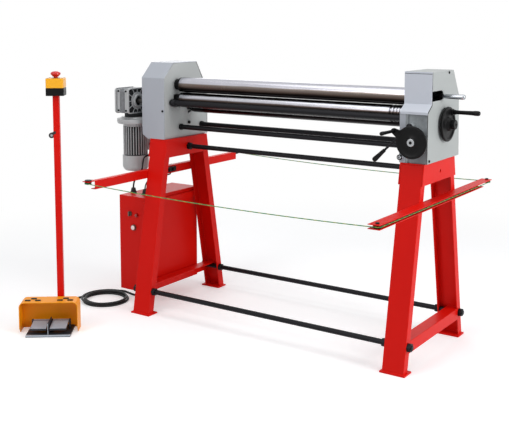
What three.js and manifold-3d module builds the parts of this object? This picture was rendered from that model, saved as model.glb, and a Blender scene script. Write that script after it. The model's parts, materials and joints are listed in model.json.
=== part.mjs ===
// Motorised slip roll machine for sheet metal, on two A-frame stands, with its pedal station.
// Millimetres, +Z up, X along the rolls with the operator in front at -Y.
import * as THREE from "three";
import { mergeVertices } from "three/addons/utils/BufferGeometryUtils.js";
import Module from "manifold-3d";

const wasm = await Module();
wasm.setup();

// Clearances
const fit = 0.3; // between pieces that are bolted or pushed together
const runningFit = 0.5; // round a shaft that turns

// Stands
const standSpan = 1400;
const standHeight = 877;
const standMiddle = standSpan / 2; // X of the right stand's middle; the left one's is minus this
const legWidth = 100;
const legDepth = 41;
const legWall = 5;
const legSlope = 0.18;
const footLength = 117.5;
const footDepth = 70;
const footThick = 8;
const headDepth = 331;
const headWall = 6;
const headDrop = 92;
const beamTop = 137;
const beamDrop = 52;
const beamWidth = 59.5;

// Tie rods
const tieRadius = 12;
const lowerTieZ = 117;
const lowerTieSetback = 20.3; // from the leg's outer face
const lowerTieY = headDepth / 2 + legSlope * (standHeight - lowerTieZ) - lowerTieSetback;
const upperTieY = 8;
const upperTieDrop = 49;
const upperTieZ = standHeight - upperTieDrop;
const nutAcross = 34;
const nutThick = 17;
const tieEnd = 5;

// Rolls
const rollRadius = 38;
const rollNip = 1.5;
const topRollY = -60;
const topRollRise = 276; // above the stands
const topRollZ = standHeight + topRollRise;
const rearRollY = 40;
const rearRollDrop = 110; // below the top roll
const rearRollZ = topRollZ - rearRollDrop;
const journalRadius = 20;
const shoulderRadius = 27.5;
const gearSeatRadius = 18;
const gearSeatLength = 36;
const driveSeatLength = 68;
const rollEndGap = 2;
const collarLength = 25;
const grooveWidths = [12, 10, 8, 7, 6];
const grooveLand = 6;
const grooveMargin = 10;
const lowerRollZ = topRollZ - 2 * rollRadius - rollNip;

// Travels of the lower and the rear roll
const pinchTravel = 8;
const bendBack = 10;
const bendUp = 45;
const bendLean = 20.5; // degrees that the rear roll's way leans forward
const blockHalf = 30;
const blockAbove = 28;
const rearBlockHalf = 28;
const windowSpare = 0.6;

// Bar and cross shafts below the rolls
const feedBarRadius = 13;
const feedBarY = -114;
const feedBarDrop = 12.5; // below the lower roll
const feedBarZ = lowerRollZ - feedBarDrop;
const feedCollarRadius = 20;
const feedCollarLength = 12;
const shaftRadius = 12.5;
const pinchShaftY = -37;
const pinchShaftRise = 55; // above the stands
const pinchShaftZ = standHeight + pinchShaftRise;
const bendShaftY = 135;
const bendShaftRise = 53;
const bendShaftZ = standHeight + bendShaftRise;
const shaftCollarRadius = 16;
const shaftCollarLength = 12;

// Left housing: bearing frame and gear cover
const frameThick = 39.5;
const leftInset = 39.5; // the frame's inner face, from the stand's middle towards the rolls
const leftInner = leftInset - standMiddle;
const leftHouseWidth = 148;
const leftOuter = leftInner - leftHouseWidth;
const leftFrameOuter = leftInner - frameThick;
const coverWall = 3;
const houseFront = -166;
const houseRear = 195;
const houseCrown = 112; // above the top roll's axis
const houseTop = topRollZ + houseCrown;
const houseChamfer = 76;
const houseTopRear = 103;
const houseKneeY = 160;
const houseKneeDrop = 95;
const houseKneeZ = houseTop - houseKneeDrop;
const houseShoulderDrop = 150;
const houseShoulderZ = houseTop - houseShoulderDrop;
const coverBevelWide = 31;
const coverBevelHigh = 20;

// Gear train: the roll gears mesh with each other, and the pinion drives a larger rim beside the
// top roll's gear, so that the lower roll can be lowered while it turns.
const gearTeeth = 15;
const driveTeeth = 28;
const pinionTeeth = 14;
const gearWidth = 30;
const gearSetback = 38;
const gearStart = leftFrameOuter - gearSetback;
const driveWidth = 24;
const driveGap = 4;
const pinionY = -120;
const pinionDrop = 12.5; // below the lower roll
const pinionZ = lowerRollZ - pinionDrop;
const driveShaftRadius = 12.5;

// Right housing: frame, side cover, front cover
const rightInset = 61.5; // the frame's inner face, from the stand's middle towards the rolls
const rightInner = standMiddle - rightInset;
const rightHouseWidth = 128;
const rightOuter = rightInner + rightHouseWidth;
const rightFrameOuter = rightInner + frameThick;
const sideFrontUpper = -125;
const sideFrontLower = -167;
const foldDrop = 25; // the fold's top, below the top roll
const foldHeight = 30;
const lipHeight = 12;
const foldTopZ = topRollZ - foldDrop;
const foldLowZ = foldTopZ - foldHeight;
const lipLowZ = foldLowZ - lipHeight;
const sideTopRear = 108;
const sideKneeY = 175;
const sideKneeDrop = 114;
const sideKneeZ = houseTop - sideKneeDrop;
const sideRear = 187;
const coverReach = 1.5;
const caseBack = -95;
const caseRecess = 6;
const releaseRise = 4; // the release lever's middle, above the top roll
const releaseZ = topRollZ + releaseRise;
const slotBelow = 17;
const slotAbove = 25;
const slotLow = releaseZ - slotBelow;
const slotHigh = releaseZ + slotAbove;
const slotEndY = -2;

// Front handwheel, lock lever and pinch drive
const pinchWheelOut = 34.5; // from the frame's outer face
const pinchWheelX = rightFrameOuter + pinchWheelOut;
const pinchWheelRise = 40; // above the pinch shaft
const pinchWheelZ = pinchShaftZ + pinchWheelRise;
const pinchWheelRadius = 70;
const pinchWheelFront = -210;
const pinchWheelThick = 12;
const hubRadius = 17;
const pinchSpindleRadius = 8;
const wormRadius = 12;
const wormLength = 46;
const wormWheelWidth = 20;
const lugX = -81;
const lugZ = 44;
const lugRadius = 12;
const pinchGripRadius = 8.5;
const pinchGripLength = 118;
const gripPinRadius = 4;
const gripEndWall = 4;
const lockOut = 17;
const lockX = rightFrameOuter + lockOut;
const lockRise = 64.5; // above the handwheel
const lockZ = pinchWheelZ + lockRise;
const lockHubRadius = 13;
const lockAngle = 223.6;
const lockLength = 228;
const lockGripLength = 72;
const lockFront = -194;
const lockThick = 12;
const ringBossIn = 13; // from the frame's inner face
const ringBossX = rightInner + ringBossIn;
const ringBossRise = 24; // above the stands
const ringBossZ = standHeight + ringBossRise;

// Side handwheel, chain and release lever
const bendWheelY = 19;
const bendWheelDrop = 10; // below the rear roll
const bendWheelZ = rearRollZ - bendWheelDrop;
const bendWheelRadius = 76;
const bendWheelOut = 8.5; // from the side cover
const bendWheelX = rightOuter + bendWheelOut;
const bendWheelThick = 12;
const bendHubLength = 41;
const bendSpindleRadius = 9;
const bendSpindleOut = 12; // from the frame's outer face
const bendSpindleStart = rightFrameOuter + bendSpindleOut;
const bendGripY = 48;
const bendGripZ = 49;
const bendGripRadius = 11;
const bendGripLength = 120;
const sprocketRadius = 25;
const sprocketOut = 60;
const sprocketX = rightFrameOuter + sprocketOut;
const sprocketWidth = 10;
const chainHeight = 6;
const releaseIn = 66.5; // from the side cover's outer face
const releaseX = rightOuter - releaseIn;
const releaseY = -17;
const releaseHubRadius = 13;
const releaseHubHeight = 24;
const releaseReach = 104;

// Gear motor
const reducerGap = 70; // from the gear cover
const reducerWidth = 95;
const reducerRight = leftOuter - reducerGap;
const reducerLeft = reducerRight - reducerWidth;
const reducerFront = -192;
const reducerBack = -46;
const reducerBelow = 66;
const reducerAbove = 67;
const reducerLow = pinionZ - reducerBelow;
const reducerHigh = pinionZ + reducerAbove;
const reducerHubRadius = 34;
const motorSetback = 46; // its axis, from the reducer's right face
const motorX = reducerRight - motorSetback;
const motorY = -90;
const motorFlangeRadius = 95;
const motorFlangeThick = 37;
const motorCollar = 20;
const motorRadius = 60;
const motorRib = 4;
const motorRibs = 30;
const motorLength = 225; // with its flange and collar
const motorLow = reducerLow - motorLength;
const cowlRadius = 69;
const cowlLength = 82;
const cowlLow = motorLow - cowlLength;
const cowlWall = 2.5;
const endBellRadius = 52;
const terminalWidth = 60;
const terminalHeight = 60;
const terminalDepth = 42;
const terminalRise = 18; // above the motor's lower end
const terminalLow = motorLow + terminalRise;

// Cabinet
const cabinetGap = 63.5; // from the stand's middle
const cabinetWidth = 173;
const cabinetRight = -standMiddle - cabinetGap;
const cabinetLeft = cabinetRight - cabinetWidth;
const cabinetFront = -205;
const cabinetBack = 226;
const cabinetLow = 70;
const cabinetHigh = 571;
const sheetWall = 2;
const railHeight = 30;
const upperRailDrop = 50;
const lowerRailHalf = 150;
const hingeBelow = 60;
const hingeAbove = 100;
const glandRadius = 9;
const glandHeight = 18;
const motorGlandIn = 20; // from the cabinet's left side
const motorGlandX = cabinetLeft + motorGlandIn;
const switchGlandIn = 101;
const switchGlandX = cabinetLeft + switchGlandIn;
const topGlandY = -121;
const pedalGlandIn = 86.5;
const pedalGlandX = cabinetLeft + pedalGlandIn;
const pedalGlandY = -30;
const pedalGlandDrop = 8;
const keyIn = 71;
const keyX = cabinetLeft + keyIn;
const keyDrop = 92;
const keyZ = cabinetHigh - keyDrop;
const lampIn = 96;
const lampX = cabinetLeft + lampIn;
const lampDrop = 163;
const lampZ = cabinetHigh - lampDrop;

// Safety rope arms
const armDrop = 159; // below the stands' top
const armTop = standHeight - armDrop;
const armWall = 3;
const rightArmWidth = 52;
const rightArmHeight = 20;
const rightArmFront = -668;
const rightArmBack = 532;
const rightFlangeBack = 420;
const leftArmWidth = 28;
const leftArmHeight = 42;
const leftArmFront = -622;
const leftArmBack = 628;
const leftEyeWidth = 40;
const leftEyeLength = 62;
const webSetback = 45;
const pulleyRadius = 17.5;
const pulleyGroove = 13.4;
const pulleyHeight = 10;
const pulleyPin = 4;
const ropeDrop = 10;
const ropeZ = armTop - ropeDrop;
const ropeRadius = 2;
const ropeSag = 14;
const ropeWrap = 15.8;
const rightPulleyOut = 32.2; // from the arm's side of the legs
const leftPulleyOut = 20.7;
const pulleySetback = 20; // from the arm's end
const rightPulleyBackIn = 17;
const legFace = standMiddle + legWidth / 2 + fit;
const rightPulleyX = legFace + rightPulleyOut;
const rightPulleyFrontY = rightArmFront + pulleySetback;
const rightPulleyBackY = rightArmBack - rightPulleyBackIn;
const leftPulleyX = -legFace - leftPulleyOut;
const leftPulleyFrontY = leftArmFront + pulleySetback;
const leftPulleyBackY = leftArmBack - pulleySetback;
const tripLength = 60;
const tripY = 20;

// Pedal station
const stationX = -984.7;
const stationY = -864.4;
const stationYaw = 36.8;
const hoodWidth = 277;
const hoodHeight = 151;
const hoodDepth = 95;
const hoodWall = 3;
const hoodRadius = 25;
const hoodBevel = 26;
const ventLength = 26;
const ventWidth = 11;
const plateLeft = 40;
const plateWidth = 209;
const plateFront = -56;
const plateBack = 136;
const plateThick = 10;
const pedalWidth = 76;
const pedalGap = 16;
const pedalThick = 9;
const pedalHingeY = 48;
const pedalHingeZ = 46;
const pedalNoseY = -50;
const pedalNoseZ = 36;
const pedalPin = 4;
const pedalBarrel = 8;
const earHalf = 10;
const earWidth = 8;
const dividerTop = 66;
const dividerThick = 4;
const dividerSetback = 6;
const postSide = 30;
const postCentreX = 181;
const postCentreY = 115;
const postTop = 1126;
const postFootSide = 50;
const postFootThick = 5.7;
const boxSide = 85;
const boxBaseHeight = 36;
const boxLidHeight = 46;
const buttonRadius = 23.5;
const buttonHeight = 16;
const buttonLift = 17;
const buttonStem = 10;
const hoodGlandX = 90;
const hoodGlandZ = 20;
const hoodGlandLength = 12;

// Cables
const pedalCable = 6; // radius of the pedal cable
const motorCable = 4.5;
const switchCable = 3.5;
const coilX = -1008.5;
const coilY = -254;
const coilRadius = 126.5;
const coilPitch = 17;
const coilStart = 180;
const coilEnd = 100;
const coilLoops = 3;
const coilLayerGap = 0.6;
const loopSteps = 24;

// Sides of round pieces
const rollSides = 20;
const wheelSides = 24;

const rad = THREE.MathUtils.degToRad;
const lerp = THREE.MathUtils.lerp;

// Turns a closed geometry into a solid that can be joined and cut.
function solid(geometry) {
  const bare = geometry.clone();
  bare.deleteAttribute("normal");
  bare.deleteAttribute("uv");
  const merged = mergeVertices(bare, 1e-4);
  return new wasm.Manifold(
    new wasm.Mesh({
      numProp: 3,
      vertProperties: new Float32Array(merged.attributes.position.array),
      triVerts: new Uint32Array(merged.index.array),
    }),
  );
}

function geometryOf(body) {
  const found = body.getMesh();
  const indexed = new THREE.BufferGeometry();
  const spots = new Float32Array(found.numVert * 3);
  for (let i = 0; i < found.numVert; i++) {
    spots.set(found.vertProperties.subarray(i * found.numProp, i * found.numProp + 3), i * 3);
  }
  indexed.setAttribute("position", new THREE.BufferAttribute(spots, 3));
  indexed.setIndex(new THREE.BufferAttribute(new Uint32Array(found.triVerts), 1));
  const faceted = indexed.toNonIndexed();
  faceted.computeVertexNormals();
  return faceted;
}

function join(first, ...others) {
  return geometryOf(others.reduce((sum, each) => sum.add(solid(each)), solid(first)));
}

function cut(first, ...others) {
  return geometryOf(others.reduce((rest, each) => rest.subtract(solid(each)), solid(first)));
}

function common(first, second) {
  return geometryOf(solid(first).intersect(solid(second)));
}

// Boxes, prisms and turned shapes, given by their limits along each axis.
function box(x0, x1, y0, y1, z0, z1) {
  return new THREE.BoxGeometry(x1 - x0, y1 - y0, z1 - z0)
    .translate((x0 + x1) / 2, (y0 + y1) / 2, (z0 + z1) / 2);
}

function outline(points) {
  return new THREE.Shape(points.map(([u, v]) => new THREE.Vector2(u, v)));
}

function extrude(shape, depth) {
  return new THREE.ExtrudeGeometry(shape, { depth, bevelEnabled: false, curveSegments: 8 });
}

// Points are (y, z).
function prismX(points, x0, x1) {
  const along = new THREE.Matrix4().makeBasis(
    new THREE.Vector3(0, 1, 0), new THREE.Vector3(0, 0, 1), new THREE.Vector3(1, 0, 0));
  return extrude(outline(points), x1 - x0).applyMatrix4(along).translate(x0, 0, 0);
}

// Points are (x, z).
function prismY(points, y0, y1) {
  return extrude(outline(points), y1 - y0).rotateX(Math.PI / 2).translate(0, y1, 0);
}

// Points are (x, y).
function prismZ(points, z0, z1) {
  return extrude(outline(points), z1 - z0).translate(0, 0, z0);
}

// A turned shape on an axis through the origin: the profile is a list of [along, radius].
function turned(profile, axis, sides = 14) {
  const ends = [[profile[0][0], 0], ...profile, [profile[profile.length - 1][0], 0]];
  const points = ends.map(([along, radius]) => new THREE.Vector2(radius, along));
  const made = new THREE.LatheGeometry(points, sides);
  if (axis === "x") made.rotateZ(-Math.PI / 2);
  if (axis === "z") made.rotateX(Math.PI / 2);
  return made;
}

function rod(radius, from, to, axis, sides = 14) {
  return turned([[from, radius], [to, radius]], axis, sides);
}

function rodX(y, z, radius, x0, x1, sides) {
  return rod(radius, x0, x1, "x", sides).translate(0, y, z);
}

function rodY(x, z, radius, y0, y1, sides) {
  return rod(radius, y0, y1, "y", sides).translate(x, 0, z);
}

function rodZ(x, y, radius, z0, z1, sides) {
  return rod(radius, z0, z1, "z", sides).translate(x, y, 0);
}

// A round tube through a list of points, square to its path at both ends.
function sweep(points, radius, sides) {
  const tangents = points.map((point, i) => {
    const before = points[Math.max(i - 1, 0)];
    const after = points[Math.min(i + 1, points.length - 1)];
    return after.clone().sub(before).normalize();
  });
  const start = Math.abs(tangents[0].z) < 0.9
    ? new THREE.Vector3(0, 0, 1)
    : new THREE.Vector3(1, 0, 0);
  let side = start.cross(tangents[0]).normalize();
  const corners = [];
  points.forEach((point, i) => {
    side = side.clone().addScaledVector(tangents[i], -side.dot(tangents[i])).normalize();
    const over = tangents[i].clone().cross(side);
    for (let k = 0; k < sides; k++) {
      const angle = (2 * Math.PI * k) / sides;
      const corner = point.clone()
        .addScaledVector(side, radius * Math.cos(angle))
        .addScaledVector(over, radius * Math.sin(angle));
      corners.push(corner.x, corner.y, corner.z);
    }
  });
  const faces = [];
  for (let i = 0; i + 1 < points.length; i++) {
    for (let k = 0; k < sides; k++) {
      const a = i * sides + k;
      const b = i * sides + ((k + 1) % sides);
      faces.push(a, b, b + sides, a, b + sides, a + sides);
    }
  }
  const last = (points.length - 1) * sides;
  for (let k = 1; k + 1 < sides; k++) {
    faces.push(0, k + 1, k);
    faces.push(last, last + k, last + k + 1);
  }
  const tube = new THREE.BufferGeometry();
  tube.setAttribute("position", new THREE.Float32BufferAttribute(corners, 3));
  tube.setIndex(faces);
  tube.computeVertexNormals();
  return tube;
}

function vectors(points) {
  return points.map(([x, y, z]) => new THREE.Vector3(x, y, z));
}

// A free cable along a smooth curve through hand-placed points.
function cable(points, radius, steps) {
  const path = new THREE.CatmullRomCurve3(vectors(points), false, "centripetal");
  return sweep(path.getSpacedPoints(steps), radius, 8);
}

// Finishes
const finish = (color, roughness, metalness) =>
  new THREE.MeshStandardMaterial({ color, roughness, metalness });
const redPaint = finish(0xd4201c, 0.4, 0.1);
const greyPaint = finish(0xb4b6bd, 0.45, 0.1);
const rollSteel = finish(0x8d8b8c, 0.25, 0.95);
const gearSteel = finish(0x70706e, 0.45, 0.9);
const darkSteel = finish(0x1f2022, 0.45, 0.6);
const chrome = finish(0xd8dadc, 0.1, 1);
const blackPlastic = finish(0x161617, 0.45, 0);
const motorPaint = finish(0x9ba0a4, 0.45, 0.4);
const orangePaint = finish(0xf0950c, 0.4, 0.1);
const pedalMetal = finish(0x8f959b, 0.45, 0.7);
const yellowPlastic = finish(0xf6bd14, 0.35, 0);
const redPlastic = finish(0xd01f1a, 0.35, 0);
const cableRubber = finish(0x18181a, 0.6, 0);
const ropeCover = finish(0x4c9a4a, 0.6, 0);

const machine = new THREE.Group();

function group(x = 0, y = 0, z = 0, parent = machine) {
  const made = new THREE.Group();
  made.position.set(x, y, z);
  parent.add(made);
  return made;
}

function add(parent, name, geometry, material) {
  const made = new THREE.Mesh(geometry, material);
  made.name = name;
  parent.add(made);
  return made;
}

// Stands
const legHalf = legWidth / 2;
const headHalf = headDepth / 2;
const plateInner = legHalf + fit;
const plateOuter = plateInner + headWall;
const legTop = standHeight - headWall - fit;

function webY(z) {
  return headHalf + legSlope * (standHeight - z);
}

// A channel with its web outwards, leaning in towards the head. End is -1 in front, +1 at the rear.
function leg(end) {
  const section = [
    [-legHalf, 0], [legHalf, 0], [legHalf, legDepth], [legHalf - legWall, legDepth],
    [legHalf - legWall, legWall], [legWall - legHalf, legWall], [legWall - legHalf, legDepth],
    [-legHalf, legDepth],
  ].map(([x, y]) => [x, -end * y]);
  const lean = new THREE.Matrix4().set(
    1, 0, 0, 0,
    0, 1, -end * legSlope, end * webY(footThick / 2),
    0, 0, 1, footThick / 2,
    0, 0, 0, 1);
  const channel = extrude(outline(section), legTop - footThick / 2).applyMatrix4(lean);
  const footOuter = webY(footThick) + footThick;
  const near = Math.min(end * footOuter, end * (footOuter - footDepth));
  const foot = box(-footLength / 2, footLength / 2, near, near + footDepth, 0, footThick);
  const hole = rodX(end * lowerTieY, lowerTieZ, tieRadius + fit, -footLength, footLength, 12);
  return cut(join(channel, foot), hole);
}

// An angle between the legs, its upright side on the outside of the stand.
function crossBeam(side) {
  const low = beamTop - beamDrop;
  const underTop = beamTop - legWall;
  const upright = [
    [-webY(low) + legDepth + fit, low], [webY(low) - legDepth + fit, low],
    [webY(beamTop) - legDepth + fit, beamTop], [-webY(beamTop) + legDepth + fit, beamTop],
  ];
  const frontWeb = -webY(beamTop) + legWall + fit;
  const rearWeb = webY(beamTop) - legWall + fit;
  const outer = side * legHalf;
  const inner = side * (legHalf - beamWidth);
  const insideFlange = side * (legHalf - legWall - fit);
  const span = (a, b) => [Math.min(a, b), Math.max(a, b)];
  const flat = box(...span(inner, insideFlange), frontWeb, rearWeb, underTop, beamTop);
  const bridge = box(...span(inner, outer), upright[3][0], upright[2][0], underTop, beamTop);
  const plate = prismX(upright, ...span(outer, side * (legHalf - legWall)));
  return join(flat, bridge, plate);
}

function standHead(side) {
  const low = standHeight - headDrop;
  const cheek = [
    [-webY(low), low], [webY(low), low], [headHalf, standHeight], [-headHalf, standHeight],
  ];
  const saddle = join(
    box(-plateOuter, plateOuter, -headHalf, headHalf, standHeight - headWall, standHeight),
    prismX(cheek, -plateOuter, -plateInner),
    prismX(cheek, plateInner, plateOuter));
  const inwards = -side * (plateInner + plateOuter) / 2;
  const tieHole = rodX(upperTieY, upperTieZ, tieRadius + fit, inwards - headWall,
    inwards + headWall, 12);
  const wrenchHole = rodX(upperTieY, upperTieZ, 7, -inwards - headWall,
    -inwards + headWall, 12);
  return cut(saddle, tieHole, wrenchHole);
}

for (const [name, side] of [["left", -1], ["right", 1]]) {
  const stand = group(side * standMiddle);
  add(stand, name + "_stand_head", standHead(side), redPaint);
  add(stand, name + "_front_leg", leg(-1), redPaint);
  add(stand, name + "_rear_leg", join(leg(1), crossBeam(side)), redPaint);
}

// Tie rods, each with its locking nuts on both sides of the plates that it passes through
function nut(x0, x1) {
  return rod(nutAcross / 2 / Math.cos(Math.PI / 6), x0, x1, "x", 6);
}

function tieRod(innerFace, outerFace) {
  const end = outerFace + fit + nutThick + tieEnd;
  const parts = [rod(tieRadius, -end, end, "x", 12)];
  for (const side of [-1, 1]) {
    const near = side * (innerFace - fit);
    const far = side * (outerFace + fit);
    parts.push(nut(...[near, near - side * nutThick].sort((a, b) => a - b)));
    parts.push(nut(...[far, far + side * nutThick].sort((a, b) => a - b)));
  }
  return join(...parts);
}

const legInnerFace = standMiddle - legHalf;
const legOuterFace = standMiddle + legHalf;
for (const [name, end] of [["front_tie_rod", -1], ["rear_tie_rod", 1]]) {
  add(group(0, end * lowerTieY, lowerTieZ), name, tieRod(legInnerFace, legOuterFace), darkSteel);
}
add(group(0, upperTieY, upperTieZ), "upper_tie_rod",
  tieRod(standMiddle - plateOuter, standMiddle - plateInner), darkSteel);

// Bearing frames. Both have a round bearing for the top roll, an upright window for the lower
// roll's block and a leaning window for the rear roll's block.
const houseLow = standHeight + fit;
const wayY = -Math.sin(rad(bendLean));
const wayZ = Math.cos(rad(bendLean));

// A point in the rear roll's way: along it, and across it towards the rear.
function onWay(along, across) {
  return [
    rearRollY + wayY * along + wayZ * across,
    rearRollZ + wayZ * along - wayY * across,
  ];
}

function frameOpenings(x0, x1) {
  const half = blockHalf + fit;
  const lowerWindow = box(x0, x1, topRollY - half, topRollY + half,
    lowerRollZ - blockHalf - pinchTravel - windowSpare, lowerRollZ + blockAbove + fit);
  const wide = rearBlockHalf + fit;
  const down = -rearBlockHalf - bendBack - windowSpare;
  const up = rearBlockHalf + bendUp + windowSpare;
  const rearWindow = prismX(
    [onWay(down, -wide), onWay(down, wide), onWay(up, wide), onWay(up, -wide)], x0, x1);
  return [
    lowerWindow,
    rearWindow,
    rodX(topRollY, topRollZ, journalRadius + runningFit, x0, x1, rollSides),
    rodX(feedBarY, feedBarZ, feedBarRadius + fit, x0, x1),
    rodX(pinchShaftY, pinchShaftZ, shaftRadius + runningFit, x0, x1),
    rodX(bendShaftY, bendShaftZ, shaftRadius + runningFit, x0, x1),
  ];
}

const leftHouse = group();
const leftProfile = (inset) => [
  [houseFront + inset, houseLow], [houseRear - inset, houseLow],
  [houseRear - inset, houseShoulderZ - inset / 2], [houseKneeY - inset, houseKneeZ - inset / 2],
  [houseTopRear - inset / 2, houseTop - inset],
  [houseFront + houseChamfer + inset / 2, houseTop - inset],
  [houseFront + inset, houseTop - houseChamfer - inset / 2],
];
add(leftHouse, "left_side_frame",
  cut(prismX(leftProfile(0), leftFrameOuter, leftInner),
    ...frameOpenings(leftFrameOuter - 1, leftInner + 1)), greyPaint);

// The gear cover is a sheet box, open towards the frame and bevelled along its low outer edge.
function bevelled(inset) {
  const left = leftOuter + inset;
  const low = houseLow + inset;
  const slant = inset / 2;
  return prismY([
    [left, low + coverBevelHigh - slant], [left + coverBevelWide - slant, low],
    [0, low], [0, houseTop], [left, houseTop],
  ], houseFront - 1, houseRear + 1);
}
const coverEdge = leftFrameOuter - fit;
const coverOuter = common(prismX(leftProfile(0), leftOuter, coverEdge), bevelled(0));
const coverInner = common(prismX(leftProfile(coverWall), leftOuter + coverWall, coverEdge + 1),
  bevelled(coverWall));
add(leftHouse, "left_gear_cover",
  cut(coverOuter, coverInner,
    rodX(pinionY, pinionZ, driveShaftRadius + 3, leftOuter - 1, leftOuter + coverWall + 1)),
  greyPaint);

// Rolls
const bodyLeft = leftInner + collarLength;
const bodyRight = rightInner - rollEndGap;

// Wire grooves at the right end, as [x, radius] points from left to right.
function grooves() {
  const points = [];
  const total = grooveWidths.reduce((sum, width) => sum + width + grooveLand, 0);
  let x = bodyRight - grooveMargin - total;
  for (const width of grooveWidths) {
    points.push([x, rollRadius], [x + width / 2, rollRadius - width / 2], [x + width, rollRadius]);
    x += width + grooveLand;
  }
  return points;
}

function roll(seatLength, grooved) {
  const profile = [
    [bodyLeft, rollRadius],
    ...(grooved ? grooves() : []),
    [bodyRight, rollRadius],
    [bodyRight, shoulderRadius], [rightInner - fit, shoulderRadius],
    [rightInner - fit, journalRadius], [rightFrameOuter - 1, journalRadius],
  ];
  const left = seatLength
    ? [[leftFrameOuter - 3 - seatLength, gearSeatRadius],
      [leftFrameOuter - 3, gearSeatRadius], [leftFrameOuter - 3, journalRadius]]
    : [[leftFrameOuter + 1, journalRadius]];
  return turned([...left, [leftInner + fit, journalRadius], [leftInner + fit, shoulderRadius],
    [bodyLeft, shoulderRadius], ...profile], "x", rollSides);
}

add(group(0, topRollY, topRollZ), "top_roll", roll(driveSeatLength, false), rollSteel);
add(group(0, topRollY, lowerRollZ), "lower_roll", roll(gearSeatLength, true), rollSteel);
add(group(0, rearRollY, rearRollZ), "rear_roll", roll(0, false), rollSteel);

// Sliding blocks that carry the lower and the rear roll
for (const [name, x0, x1] of [
  ["left", leftFrameOuter, leftInner],
  ["right", rightInner, rightFrameOuter],
]) {
  const near = x0 + fit;
  const far = x1 - fit;
  const bore = (y, z) => rodX(y, z, journalRadius + runningFit, near - 1, far + 1, rollSides);
  add(group(), "lower_" + name + "_block",
    cut(box(near, far, topRollY - blockHalf, topRollY + blockHalf,
      lowerRollZ - blockHalf, lowerRollZ + blockAbove), bore(topRollY, lowerRollZ)), gearSteel);
  const half = rearBlockHalf;
  add(group(), "rear_" + name + "_block",
    cut(prismX([onWay(-half, -half), onWay(-half, half), onWay(half, half), onWay(half, -half)],
      near, far), bore(rearRollY, rearRollZ)), gearSteel);
}

// Gears: straight teeth, thinned so that they run clear, and in mesh at rest.
const gearPitch = (topRollZ - lowerRollZ) / 2;
const driveDistance = Math.hypot(pinionY - topRollY, pinionZ - topRollZ);
const drivePitch = (driveDistance * driveTeeth) / (driveTeeth + pinionTeeth);
const pinionPitch = driveDistance - drivePitch;
const driveStart = gearStart - driveGap - driveWidth;

function gearOutline(teeth, pitch, phase) {
  const toothSize = (2 * pitch) / teeth;
  const outer = pitch + 0.8 * toothSize;
  const root = pitch - toothSize;
  const tip = (0.37 * toothSize) / outer;
  const foot = (0.85 * toothSize) / root;
  const points = [];
  for (let k = 0; k < teeth; k++) {
    const middle = phase + (2 * Math.PI * k) / teeth;
    for (const [angle, radius] of [[-foot, root], [-tip, outer], [tip, outer], [foot, root]]) {
      points.push([radius * Math.cos(middle + angle), radius * Math.sin(middle + angle)]);
    }
  }
  return points;
}

function rim(teeth, pitch, phase, start, width) {
  return prismX(gearOutline(teeth, pitch, phase), start, start + width);
}

const seatBore = rod(gearSeatRadius + fit, driveStart - 1, gearStart + gearWidth + 1, "x", rollSides);
const towardsPinion = Math.atan2(pinionZ - topRollZ, pinionY - topRollY);
add(group(0, topRollY, topRollZ), "top_roll_gear",
  cut(
    join(
      rim(gearTeeth, gearPitch, -Math.PI / 2, gearStart, gearWidth),
      rod(gearPitch * 0.7, gearStart - driveGap - 1, gearStart + 1, "x", rollSides),
      rim(driveTeeth, drivePitch, towardsPinion, driveStart, driveWidth)),
    seatBore), gearSteel);
add(group(0, topRollY, lowerRollZ), "lower_roll_gear",
  cut(rim(gearTeeth, gearPitch, Math.PI / 2 + Math.PI / gearTeeth, gearStart, gearWidth), seatBore),
  gearSteel);
add(group(0, pinionY, pinionZ), "drive_pinion",
  join(
    rim(pinionTeeth, pinionPitch, towardsPinion + Math.PI + Math.PI / pinionTeeth, driveStart,
      driveWidth),
    rod(driveShaftRadius, reducerLeft + 8, driveStart + driveWidth + 4, "x")), gearSteel);

// Feed bar and cross shafts
const barLeft = leftFrameOuter + 1;
add(group(0, feedBarY, feedBarZ), "feed_bar",
  turned([[barLeft, feedBarRadius], [leftInner + fit, feedBarRadius],
    [leftInner + fit, feedCollarRadius], [leftInner + fit + feedCollarLength, feedCollarRadius],
    [leftInner + fit + feedCollarLength, feedBarRadius],
    [rightFrameOuter - 1, feedBarRadius]], "x"), darkSteel);

function crossShaft(end, wheelRadius, wheelX0, wheelX1) {
  const collarLeft = leftInner + fit;
  const collarRight = rightInner - fit;
  return turned([
    [barLeft, shaftRadius], [collarLeft, shaftRadius],
    [collarLeft, shaftCollarRadius], [collarLeft + shaftCollarLength, shaftCollarRadius],
    [collarLeft + shaftCollarLength, shaftRadius],
    [collarRight - shaftCollarLength, shaftRadius],
    [collarRight - shaftCollarLength, shaftCollarRadius], [collarRight, shaftCollarRadius],
    [collarRight, shaftRadius], [wheelX0, shaftRadius], [wheelX0, wheelRadius],
    [wheelX1, wheelRadius], [wheelX1, shaftRadius], [end, shaftRadius],
  ], "x");
}

const wormWheelRadius = pinchWheelZ - pinchShaftZ - wormRadius - runningFit;
const wormWheelX = pinchWheelX - wormWheelWidth / 2;
add(group(0, pinchShaftY, pinchShaftZ), "pinch_shaft",
  crossShaft(wormWheelX + wormWheelWidth + 12, wormWheelRadius, wormWheelX,
    wormWheelX + wormWheelWidth), darkSteel);
add(group(0, bendShaftY, bendShaftZ), "bend_shaft",
  crossShaft(sprocketX + sprocketWidth + 5, sprocketRadius, sprocketX,
    sprocketX + sprocketWidth), darkSteel);

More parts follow.
